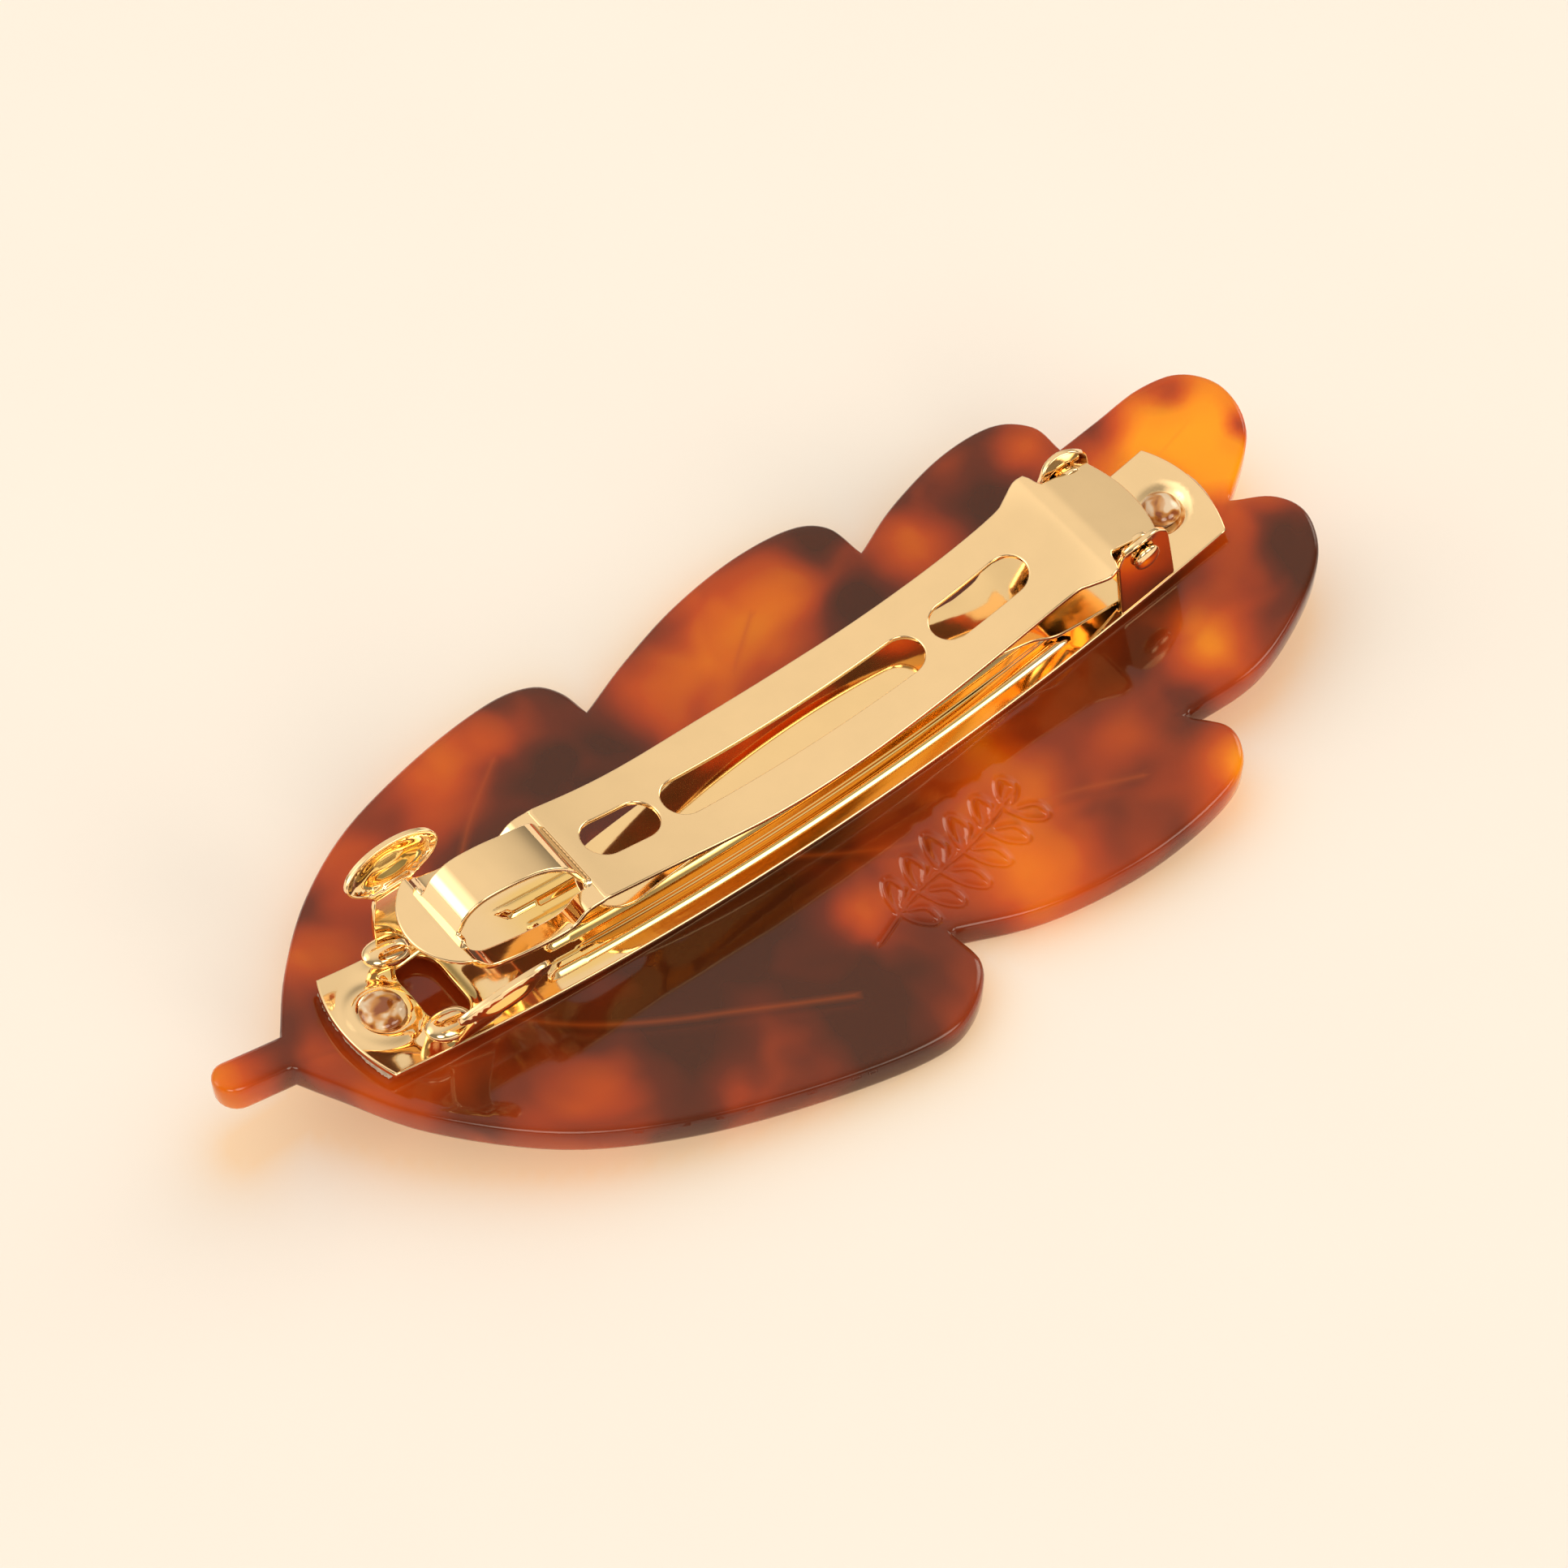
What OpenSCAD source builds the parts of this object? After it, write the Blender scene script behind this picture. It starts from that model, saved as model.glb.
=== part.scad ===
// Leaf barrette: an acetate leaf with a French clip glued and riveted to its back.
// X runs along the clip (latch end -X, hinge end +X), Y across it, +Z is the clip side.
// The origin is under the middle of the leaf's bounding box, at its lowest point.

/* [Leaf] */
// Thickness of the acetate sheet
leaf_t = 3; // [2.5:0.1:3.2]
// Bend radius of the leaf's top face, round a line across the clip
leaf_r = 162; // [150:1:175]

/* [Base bar] */
// Length of the clip's base over its rounded ends
bar_len = 82.4; // [80:0.2:84]
// Width of the base
bar_w = 10.2; // [9.8:0.1:10.4]
// Thickness of the base sheet
bar_t = 0.5; // [0.4:0.05:0.6]
// Bend radius of the base
bar_r = 142; // [138:1:146]
// Height of the stiffening ribs
rib_h = 0.45; // [0.2:0.05:0.5]

/* [Hinge] */
// Distance of the pivot from the middle of the clip
pivot_x = 31.25; // [31:0.05:31.5]
// Height of the pivot above the table
pivot_z = 13.15; // [13:0.05:13.3]
// Radius of the holes in the lugs
pivot_hole_r = 1; // [0.8:0.05:1.1]
// Radial clearance of the arm's pivot studs in the lug holes
pivot_clear = 0.06; // [0.02:0.01:0.1]

/* [Clamp arm] */
// Thickness of the arm's sheet
arm_t = 0.5; // [0.4:0.05:0.6]
// Bend radius of the arm's upper face
arm_r = 81.7; // [80:0.1:84]
// Height of the arm's upper face at its lowest place
arm_z = 10.8; // [10.6:0.1:11.2]
// Width of the three slots
slot_w = 3.5; // [3:0.1:3.8]

/* [Tension spring] */
// Thickness of the spring strip
spring_t = 0.4; // [0.3:0.05:0.45]
// Width of the strip between its ends
spring_w = 6.4; // [5.5:0.1:7]

/* [Latch fingers] */
// Outward lean of each squeeze finger
finger_lean = 20; // [18:1:22]
// Width of a finger's stem
finger_w = 3.8; // [3.4:0.1:4.4]
// Length of a pad along the clip
pad_len = 8.2; // [7.6:0.1:8.6]
// Height of a pad
pad_h = 3.7; // [3.4:0.1:4.2]

/* [Hidden] */

// Colours
acetate = [0.50, 0.22, 0.10];
gold = [0.93, 0.80, 0.56];
deep_gold = [0.86, 0.68, 0.38];
glue_white = [0.88, 0.85, 0.78];
resin = [0.90, 0.80, 0.66, 0.8];

// Facets: large bends, small rounds, points per span of a smooth outline
bend_fn = 720;
round_fn = 64;
span_n = 4;
// Height of the prisms that cut outlines from bent sheet
tall = 40;

// A smooth curve through the points p, without its last point
function spline_at(a, b, c, d, t) =
    0.5 * (2 * b + (c - a) * t + (2 * a - 5 * b + 4 * c - d) * t * t
           + (3 * b - a - 3 * c + d) * t * t * t);
function smooth(p) =
    let (n = len(p) - 1, q = concat([2 * p[0] - p[1]], p, [2 * p[n] - p[n - 1]]))
    [for (i = [0:n - 1], k = [0:span_n - 1]) spline_at(q[i], q[i + 1], q[i + 2], q[i + 3], k / span_n)];
function smooth_all(p) = concat(smooth(p), [p[len(p) - 1]]);
// The same points mirrored in the X axis, in reverse order
function mirrored(p) = [for (i = [len(p) - 1:-1:0]) [p[i].x, -p[i].y]];
// A ribbon of thickness t centred on the path p
function side_of(p, i) =
    let (a = p[max(i - 1, 0)], b = p[min(i + 1, len(p) - 1)], d = (b - a) / norm(b - a)) [-d.y, d.x];
function ribbon(p, t) =
    concat([for (i = [0:len(p) - 1]) p[i] + side_of(p, i) * t / 2],
           [for (i = [len(p) - 1:-1:0]) p[i] - side_of(p, i) * t / 2]);

// Leaf outline, lobe by lobe, round from the stem along the far side to the tip and back
stem_r = 1.55;
stem_end = [-49.8, 1.45];
lobe_far_1 = [[-44.8, 3], [-41.2, 7.8], [-36, 12.9], [-29.3, 17.1], [-20.9, 19.9], [-13.5, 21.1],
              [-9.6, 20.5], [-7.9, 18.6], [-7.4, 15.9]];
lobe_far_2 = [[-7.4, 15.9], [-2.2, 18], [4, 19.8], [10.5, 20.5], [15.8, 19.8], [18.3, 17.8], [18.8, 14.2]];
lobe_far_3 = [[18.8, 14.2], [23.2, 15.9], [29, 16.9], [33.8, 16.2], [36.2, 13.7], [36.4, 10.6]];
lobe_tip = [[36.4, 10.6], [40, 10.5], [44.2, 10.3], [47.4, 8.8], [48.9, 5.3], [47.6, 1], [42.8, -2.6]];
lobe_near_3 = [[42.8, -2.6], [45.4, -4.8], [46.2, -7.8], [44.4, -11.2], [40, -13.8], [34.5, -15.3],
               [28, -14.6]];
lobe_near_2 = [[28, -14.6], [29.9, -17.8], [28.3, -20.9], [24, -22.1], [17, -22.1], [9, -20.5],
               [2.1, -17.5]];
lobe_near_1 = [[2.1, -17.5], [2.2, -21.2], [-1.2, -24], [-5.5, -24.4], [-14, -22.5], [-24, -19.3],
               [-32.6, -15], [-39.9, -8.6], [-43.8, -2.9], [-45.6, -0.1]];
stem_tip = [for (a = [270:-20:90]) stem_end + stem_r * [cos(a), sin(a)]];
leaf_outline = concat(smooth(lobe_far_1), smooth(lobe_far_2), smooth(lobe_far_3), smooth(lobe_tip),
                      smooth(lobe_near_3), smooth(lobe_near_2), smooth(lobe_near_1), stem_tip);
leaf_mid = [(min([for (p = leaf_outline) p.x]) + max([for (p = leaf_outline) p.x])) / 2,
            (min([for (p = leaf_outline) p.y]) + max([for (p = leaf_outline) p.y])) / 2];

// Base bar: height of its underside at the middle, and its ends
bar_z = leaf_t + 0.02;
bar_end_r = 12;
bar_half = bar_len / 2;
rib_zone = 26.5;
bar_bend = asin(rib_zone / bar_r);
// Across the bar, from the middle to the edge: [distance, height above the sheet]
rib_shape = [[0, 1], [1.1, 1], [1.6, 0], [2.5, 0], [2.9, 0.8], [3.5, 0.8], [3.9, 0]];
// Height of the bar's top face at x
function bar_top(x) = bar_z + bar_t + x * x / (2 * bar_r);

// Rivet holes near the ends of the bar
crater_x = 37.7;
crater_r = 1.5;
// Flare of the holes towards the top face: depth and extra radius
flare_depth = 0.35;
flare_r = 0.9;
dome_h = 1.1;
// Oblong hole between the rivet and the fingers
window_x = -33.3;
window_w = 3.6;
window_len = 6.8;

// Glue under each end
glue_from_hinge = 25;
glue_from_latch = -window_x + window_w / 2 + 0.3;
glue_half = 4.5;
glue_inset = 0.35;

// Lugs
lug_r = 2.6;
lug_t = bar_t;
lug_foot = [29.7, 34.9];
ear_gap = 0.3;
ear_r = 1.4;

// Arm: half outline of the bowed part, [x, half width]
arm_side = [[-21.4, 4.9], [-14, 4.85], [-5, 5.25], [3, 5.25], [11, 5], [19, 4.8], [24.2, 4.85],
            [25.8, 5.35], [27.2, 5.85], [27.9, 5.7]];
arm_x = 2.1;
slots = [[-19.05, -12.4], [-11.6, 13.1], [14.4, 23.3]];
// Side view of the raised bridge, of the pressed-down rails beside it, and of the tail
bridge_path = [[-20.8, 13.75], [-21.2, 14.4], [-22.1, 16.1], [-23.4, 17.1], [-25.3, 17.85],
               [-27.4, 18.4], [-29.4, 18.6], [-30.8, 18.05], [-31.6, 16.9], [-32.1, 15.95]];
rail_path = [[-20.9, 13.8], [-22.2, 13.7], [-23.8, 12.75], [-27, 13.2], [-30.4, 14.3], [-31.3, 15],
             [-31.9, 15.95]];
tail_path = [[27.4, 14.52], [28.4, 14.6], [29.4, 14.42], [34.4, 13.3]];
bridge_root_w = 5.8;
bridge_w = 4.3;
rail_inner = 3.15;
rail_outer = 4.9;
// Tongue at the latch end: a crescent 9.6 mm across
tongue_z = 15.95;
tongue_x = -29.65;
tongue_r = 5.1;
tongue_half = 4.8;
tail_half = 4.2;
tail_tip = 34;
tail_end_r = 10;

// Spring: side view and half outline
spring_path = [[-19.5, 7.35], [-13, 8.5], [-5, 9.25], [5, 9.5], [14, 9.25], [21, 8.6], [26, 7.75], [29.3, 7.3]];
spring_tip_r = spring_w / 2;
spring_root_x = 23;
spring_root_half = 4.25;

// Fingers
finger_x = -32.9;
finger_t = 0.6;
finger_root_z = 7.6;
finger_gap = 0.15;
stem_h = 6.15;
pad_x = -31.4;
pad_dish_r = 15;

module in_place() {
    translate([-leaf_mid.x, -leaf_mid.y, 0]) children();
}

// Sheet of thickness t bent round a line across the clip; r is its upper face's radius
module bent_sheet(x0, z_top, r, t) {
    translate([x0, 0, z_top + r])
        rotate([90, 0, 0])
            difference() {
                cylinder(h = 60, r = r + t, center = true, $fn = bend_fn);
                cylinder(h = 62, r = r, center = true, $fn = bend_fn);
            }
}

// Everything above the bent face of radius r through [0, z_low]
module above_bend(z_low, r) {
    translate([0, 0, z_low + r])
        rotate([90, 0, 0])
            cylinder(h = 60, r = r, center = true, $fn = bend_fn);
}

// A side view [x, z] made half_w wide to each side of the middle plane
module across(half_w) {
    rotate([90, 0, 0])
        linear_extrude(2 * half_w, center = true) children();
}

module leaf_plate() {
    color(acetate)
        intersection() {
            linear_extrude(tall / 2) polygon(leaf_outline);
            bent_sheet(0, leaf_t, leaf_r, leaf_t);
        }
}

// Glue under one end of the bar, from near to the rounded end
module glue_bed(near) {
    color(glue_white)
        difference() {
            intersection() {
                translate([near, -glue_half, 0]) cube([bar_half - near, 2 * glue_half, tall / 2]);
                translate([bar_half - glue_inset - bar_end_r, 0, 0])
                    cylinder(h = tall / 2, r = bar_end_r, $fn = bend_fn);
                above_bend(leaf_t, leaf_r);
            }
            above_bend(bar_z, bar_r + bar_t);
            translate([crater_x, 0, 0]) cylinder(h = tall / 2, r = crater_r, $fn = round_fn);
        }
}

// Clear resin that fills the hole, down to the leaf, and stands up in a dome
module resin_rivet() {
    dome_base = bar_top(crater_x) + 0.1;
    dome_r = (crater_r * crater_r + dome_h * dome_h) / (2 * dome_h);
    color(resin)
        intersection() {
            translate([crater_x, 0, 0])
                union() {
                    cylinder(h = dome_base, r = crater_r, $fn = round_fn);
                    intersection() {
                        translate([0, 0, dome_base + dome_h - dome_r]) sphere(r = dome_r, $fn = round_fn);
                        translate([0, 0, dome_base]) cylinder(h = dome_h, r = crater_r, $fn = round_fn);
                    }
                }
            above_bend(leaf_t, leaf_r);
        }
}

module bar_outline() {
    intersection() {
        square([bar_len, bar_w], center = true);
        union() {
            square([bar_len - 2 * bar_end_r, bar_w], center = true);
            for (side = [-1, 1])
                translate([side * (bar_half - bar_end_r), 0]) circle(r = bar_end_r, $fn = bend_fn);
        }
    }
}

// The ribbed middle stretch, swept round the bend
module bar_ribs() {
    half = [for (p = rib_shape) [bar_r + 0.05 - p[1] * rib_h, p[0]]];
    top = concat([for (i = [len(half) - 1:-1:1]) [half[i].x, -half[i].y]], half);
    under = bar_r + bar_t / 2;
    translate([0, 0, bar_z + bar_t + bar_r])
        rotate([0, 90, 0])
            rotate([90, 0, 0])
                rotate([0, 0, -bar_bend])
                    rotate_extrude(angle = 2 * bar_bend, $fn = bend_fn)
                        polygon(concat([[under, -rib_shape[6][0]]], top, [[under, rib_shape[6][0]]]));
}

module lug(side) {
    translate([0, side * (bar_w - lug_t) / 2, 0])
        difference() {
            union() {
                across(lug_t / 2)
                    polygon([[lug_foot[0], bar_top(lug_foot[0]) - 0.3], [lug_foot[1], bar_top(lug_foot[1]) - 0.3],
                             [pivot_x + lug_r - 0.1, pivot_z], [pivot_x - lug_r + 0.1, pivot_z]]);
                translate([pivot_x, 0, pivot_z])
                    rotate([90, 0, 0]) cylinder(h = lug_t, r = lug_r, center = true, $fn = round_fn);
            }
            translate([pivot_x, 0, pivot_z])
                rotate([90, 0, 0]) cylinder(h = 3 * lug_t, r = pivot_hole_r, center = true, $fn = round_fn);
        }
}

module base_bar() {
    color(gold)
        difference() {
            union() {
                intersection() {
                    linear_extrude(tall) bar_outline();
                    bent_sheet(0, bar_z + bar_t, bar_r, bar_t);
                }
                bar_ribs();
                lug(-1);
                lug(1);
            }
            for (side = [-1, 1])
                translate([side * crater_x, 0, 0]) {
                    cylinder(h = tall, r = crater_r, $fn = round_fn);
                    translate([0, 0, bar_top(crater_x) - flare_depth])
                        cylinder(h = 2 * flare_depth, r1 = crater_r, r2 = crater_r + 2 * flare_r, $fn = round_fn);
                }
            hull()
                for (side = [-1, 1])
                    translate([window_x, side * (window_len - window_w) / 2, 0])
                        cylinder(h = tall, r = window_w / 2, $fn = 32);
        }
}

// One squeeze finger, made upright at the bar's edge, leaned outward and cut to the bar's bend
module finger(side) {
    root = [finger_x, side * (bar_w - finger_t) / 2, finger_root_z];
    color(gold)
        intersection() {
            translate(root)
                rotate([-side * finger_lean, 0, 0])
                    mirror([0, 1 - side, 0]) {
                        translate([-finger_w / 2, -finger_t / 2, -1]) cube([finger_w, finger_t, stem_h + 1]);
                        finger_pad();
                    }
            above_bend(bar_z + bar_t + finger_gap, bar_r);
        }
}

// The pad: a shallow dish, hollow towards the arm
module finger_pad() {
    flat = pad_len / pad_h;
    centre_z = stem_h + pad_h / 2 - 0.8;
    intersection() {
        translate([pad_x - finger_x, 0, centre_z])
            rotate([90, 0, 0])
                scale([flat, 1, 1]) cylinder(h = 4, r = pad_h / 2, center = true, $fn = round_fn);
        translate([pad_x - finger_x, finger_t / 2 - pad_dish_r, centre_z])
            difference() {
                sphere(r = pad_dish_r, $fn = 2 * round_fn);
                sphere(r = pad_dish_r - finger_t, $fn = 2 * round_fn);
            }
    }
}

module latch_finger_front() {
    finger(-1);
}

module latch_finger_back() {
    finger(1);
}

module arm_outline() {
    difference() {
        polygon(concat(smooth_all(arm_side), mirrored(smooth_all(arm_side))));
        for (s = slots)
            hull()
                for (x = [s[0] + slot_w / 2, s[1] - slot_w / 2])
                    translate([x, 0]) circle(d = slot_w, $fn = 32);
    }
}

// Crescent tongue that snaps between the fingers
module tongue() {
    translate([0, 0, tongue_z - arm_t / 2])
        linear_extrude(arm_t)
            intersection() {
                translate([tongue_x, 0]) circle(r = tongue_r, $fn = round_fn);
                translate([tongue_x - tongue_r, -tongue_half]) square([3.45, 2 * tongue_half]);
            }
}

module bridge_plan() {
    polygon([[-20.5, -bridge_root_w / 2], [-20.5, bridge_root_w / 2], [-24, bridge_w / 2],
             [-33, bridge_w / 2], [-33, -bridge_w / 2], [-24, -bridge_w / 2]]);
}

module tail() {
    intersection() {
        across(tail_half) polygon(ribbon(tail_path, arm_t));
        translate([tail_tip - tail_end_r, 0, 0]) cylinder(h = tall, r = tail_end_r, $fn = 2 * round_fn);
    }
}

// Ear bent down from the tail, with the stud that turns in the lug
module ear(side) {
    ear_y = bar_w / 2 - lug_t - ear_gap - arm_t;
    translate([pivot_x, side * ear_y, pivot_z])
        rotate([-side * 90, 0, 0]) {
            cylinder(h = arm_t, r = ear_r, $fn = round_fn);
            cylinder(h = arm_t + ear_gap + lug_t + 0.1, r = pivot_hole_r - pivot_clear, $fn = round_fn);
        }
}

module clamp_arm() {
    color(gold)
        union() {
            intersection() {
                bent_sheet(arm_x, arm_z, arm_r, arm_t);
                linear_extrude(tall) arm_outline();
            }
            intersection() {
                across(bridge_root_w / 2) polygon(ribbon(smooth_all(bridge_path), arm_t));
                linear_extrude(tall) bridge_plan();
            }
            for (side = [-1, 1]) {
                translate([0, side * (rail_inner + rail_outer) / 2, 0])
                    across((rail_outer - rail_inner) / 2) polygon(ribbon(smooth_all(rail_path), arm_t));
                ear(side);
            }
            tongue();
            tail();
        }
}

module spring_outline() {
    translate([spring_path[0].x + spring_tip_r, 0]) circle(r = spring_tip_r, $fn = round_fn);
    translate([spring_path[0].x + spring_tip_r, -spring_w / 2])
        square([spring_root_x - spring_path[0].x, spring_w]);
    polygon([[spring_root_x - 3, -spring_w / 2], [spring_root_x, -spring_root_half],
             [29.3, -spring_root_half], [29.3, spring_root_half], [spring_root_x, spring_root_half],
             [spring_root_x - 3, spring_w / 2]]);
}

module tension_spring() {
    color(deep_gold)
        intersection() {
            across(spring_root_half) polygon(ribbon(smooth_all(spring_path), spring_t));
            linear_extrude(tall) spring_outline();
        }
}

in_place() leaf_plate();
in_place() mirror([1, 0, 0]) glue_bed(glue_from_latch);  // glue_bed_latch_end
in_place() glue_bed(glue_from_hinge);  // glue_bed_hinge_end
in_place() mirror([1, 0, 0]) resin_rivet();  // resin_rivet_latch_end
in_place() resin_rivet();  // resin_rivet_hinge_end
in_place() base_bar();
in_place() latch_finger_front();
in_place() latch_finger_back();
in_place() tension_spring();
in_place() clamp_arm();
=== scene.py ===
import math

import bpy
import numpy as np
from mathutils import Matrix, Vector, geometry


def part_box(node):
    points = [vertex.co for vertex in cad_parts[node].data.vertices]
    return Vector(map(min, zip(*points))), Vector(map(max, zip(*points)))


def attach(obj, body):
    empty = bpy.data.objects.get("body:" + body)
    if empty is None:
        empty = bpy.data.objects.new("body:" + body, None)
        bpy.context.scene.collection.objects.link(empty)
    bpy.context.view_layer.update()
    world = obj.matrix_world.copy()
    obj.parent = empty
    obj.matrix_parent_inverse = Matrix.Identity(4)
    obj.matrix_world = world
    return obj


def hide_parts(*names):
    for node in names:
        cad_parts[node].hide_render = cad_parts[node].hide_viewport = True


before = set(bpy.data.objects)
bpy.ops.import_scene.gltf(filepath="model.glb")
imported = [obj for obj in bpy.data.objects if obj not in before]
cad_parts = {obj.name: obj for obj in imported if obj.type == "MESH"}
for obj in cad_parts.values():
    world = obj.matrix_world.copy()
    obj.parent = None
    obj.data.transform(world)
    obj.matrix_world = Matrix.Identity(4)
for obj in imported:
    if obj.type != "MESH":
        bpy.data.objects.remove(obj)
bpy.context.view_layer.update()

# Lengths below are millimetres in the clip's own frame: X along the base bar, Y across it, Z up from the
# table, with X = Y = 0 at the middle of the bar. to_world() turns them into the row frame in metres.
MM = 0.001
bar_low, bar_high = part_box("base_bar")
CLIP_X = (bar_low[0] + bar_high[0]) / 2
CLIP_Y = (bar_low[1] + bar_high[1]) / 2

# Leaf
LEAF_T = 3.0
LEAF_R = 162.0
LEAF_EDGE = 0.75
LEAF_SLIM = 0.997
# Base bar
BAR_R = 142.0
BAR_T = 0.5
BAR_GAP = 0.02
BAR_Z = LEAF_T + BAR_GAP + BAR_T / 2
BAR_LEN = 82.4
BAR_W = 10.2
BAR_END_R = 12.0
RIB_H = 0.45
# Rivet holes and the window between the fingers
CRATER_X = 37.7
CRATER_R = 1.5
WINDOW_X = -33.3
WINDOW_W = 3.6
WINDOW_LEN = 6.8
# Hinge
PIVOT_X = 31.25
PIVOT_Z = 13.15
PIVOT_HOLE_R = 1.0
STUD_R = 0.94
STUD_HEAD_R = 1.2
STUD_HEAD_Y = 5.36
STUD_HEAD_H = 0.42
STUD_ROOT_Y = 3.9
# Arm
ARM_T = 0.5
ARM_R = 81.7
ARM_X = 2.1
ARM_Z = 10.8
SLOT_W = 3.5
# Fingers
FINGER_X = -32.9
FINGER_LEAN = math.radians(20)
# Rounding of stamped edges
METAL_EDGE = 0.14
# A sheet's rim: depths of the vertex rings as shares of the edge, and the rounding's share of the thickness
RIM_RINGS = np.array([0, 0.12, 0.4, 1])
ROUND_SHARE = 0.98
# Depth that stands for a point well inside a sheet
FAR_INSIDE = 1e3


def to_world(points):
    """Clip-frame millimetres to row-frame metres."""
    return np.asarray(points, float) * MM + np.array([CLIP_X, CLIP_Y, 0.0])


def smoothstep(low, high, value):
    t = np.clip((np.asarray(value, float) - low) / (high - low), 0, 1)
    return t * t * (3 - 2 * t)


def smooth(points, count):
    """A Catmull-Rom curve through the points, count steps per span, last point included."""
    p = np.asarray(points, float)
    q = np.vstack([2 * p[0] - p[1], p, 2 * p[-1] - p[-2]])
    t = np.arange(count)[:, None] / count
    spans = []
    for a, b, c, d in zip(q[:-3], q[1:-2], q[2:-1], q[3:]):
        square = (2 * a - 5 * b + 4 * c - d) * t ** 2
        cube = (3 * b - a - 3 * c + d) * t ** 3
        spans.append(0.5 * (2 * b + (c - a) * t + square + cube))
    return np.vstack(spans + [p[-1:]])


def lengths_along(points):
    return np.concatenate([[0], np.cumsum(np.linalg.norm(np.diff(points, axis=0), axis=1))])


def resample(points, step, closed=False):
    """Points evenly spaced along a polyline."""
    p = np.vstack([points, points[:1]]) if closed else np.asarray(points, float)
    along = lengths_along(p)
    count = max(int(round(along[-1] / step)), 2)
    at = np.linspace(0, along[-1], count + 1)
    out = np.stack([np.interp(at, along, p[:, k]) for k in range(p.shape[1])], 1)
    return out[:-1] if closed else out


def path_at(path, fraction):
    """Point on a polyline at a fraction of its length, for arrays of fractions."""
    along = lengths_along(path)
    at = np.clip(fraction, 0, 1) * along[-1]
    return np.stack([np.interp(at, along, path[:, k]) for k in range(path.shape[1])], -1)


def oval(x, y, a, b, count):
    turn = np.linspace(0, 2 * math.pi, count, endpoint=False)
    return np.stack([x + a * np.cos(turn), y + b * np.sin(turn)], 1)


def arc(x, y, r, start, end, count):
    """Points on a circle's arc, angles in radians."""
    turn = np.linspace(start, end, count)
    return np.stack([x + r * np.cos(turn), y + r * np.sin(turn)], 1)


def stadium(x0, x1, width, step):
    """Outline of a slot with round ends, along X and centred on it."""
    r = width / 2
    left = arc(x0 + r, 0, r, math.pi / 2, 3 * math.pi / 2, 14)
    right = arc(x1 - r, 0, r, -math.pi / 2, math.pi / 2, 14)
    return resample(np.vstack([left, right]), step, closed=True)


def round_end(reach, radius, half, count):
    """The bulging end of a strip of this half width, from its near corner to its far one."""
    y = np.linspace(-half, half, count)
    return np.column_stack([reach - radius + np.sqrt(radius ** 2 - y ** 2), y])


def signed_area(loop):
    x, y = loop[:, 0], loop[:, 1]
    return 0.5 * np.sum(x * np.roll(y, -1) - np.roll(x, -1) * y)


def turned(loop, counter_clockwise):
    return loop if (signed_area(loop) > 0) == counter_clockwise else loop[::-1]


def inward(loop):
    """Offset direction of each vertex towards the loop's left, mitred but never longer than 1.4."""
    ahead = np.roll(loop, -1, axis=0) - loop
    ahead /= np.linalg.norm(ahead, axis=1)[:, None] + 1e-12
    behind = np.roll(ahead, 1, axis=0)
    left = np.stack([-(ahead[:, 1] + behind[:, 1]), ahead[:, 0] + behind[:, 0]], 1)
    size = np.linalg.norm(left, axis=1)
    size[size < 1e-6] = 1
    left /= size[:, None]
    bend = np.abs(np.sum(left * np.stack([-ahead[:, 1], ahead[:, 0]], 1), axis=1))
    return left / np.clip(bend, 0.7, 1)[:, None]


def inside(points, loops):
    """Even-odd test of many points against several closed loops."""
    hit = np.zeros(len(points), bool)
    px, py = points[:, 0], points[:, 1]
    for loop in loops:
        for (ax, ay), (bx, by) in zip(loop, np.roll(loop, -1, axis=0)):
            if ay == by:
                continue
            crosses = ((ay > py) != (by > py)) & (px < (bx - ax) * (py - ay) / (by - ay) + ax)
            hit ^= crosses
    return hit


def distance_to(points, line, closed):
    """Distance from many points to a polyline."""
    ends = np.roll(line, -1, axis=0) if closed else line[1:]
    starts = line if closed else line[:-1]
    best = np.full(len(points), 1e9)
    for a, b in zip(starts, ends):
        span = b - a
        t = np.clip(((points - a) @ span) / max(span @ span, 1e-12), 0, 1)
        best = np.minimum(best, np.linalg.norm(points - a - t[:, None] * span, axis=1))
    return best


def hex_grid(low, high, spacing):
    rows = np.arange(low[1], high[1], spacing * 0.866)
    return np.array([(x + (spacing / 2 if k % 2 else 0), y) for k, y in enumerate(rows)
                     for x in np.arange(low[0], high[0], spacing)])


def grid_inside(loops, spacing, dense, rim):
    """A hexagonal grid within the loops that keeps off their rims.

    dense lists zones (x low, x high, spacing) with a finer grid."""
    low, high = loops[0].min(0), loops[0].max(0)
    grid = hex_grid(low, high, spacing)
    pitch = np.full(len(grid), spacing)
    for x_low, x_high, finer in dense:
        outside = (grid[:, 0] < x_low) | (grid[:, 0] > x_high)
        zone = hex_grid((x_low, low[1]), (x_high, high[1]), finer)
        grid = np.vstack([grid[outside], zone])
        pitch = np.concatenate([pitch[outside], np.full(len(zone), finer)])
    off_rims = np.min([distance_to(grid, loop, True) for loop in loops], axis=0)
    return grid[(off_rims > rim + 0.45 * pitch) & inside(grid, loops)]


def away_from(grid, fixed, gap, chunk=400):
    """The grid's points that are further than gap from every fixed point."""
    near = np.full(len(grid), 1e9)
    for start in range(0, len(fixed), chunk):
        to_fixed = np.linalg.norm(grid[:, None] - fixed[start:start + chunk][None], axis=2)
        near = np.minimum(near, to_fixed.min(1))
    return grid[near > gap]


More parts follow.
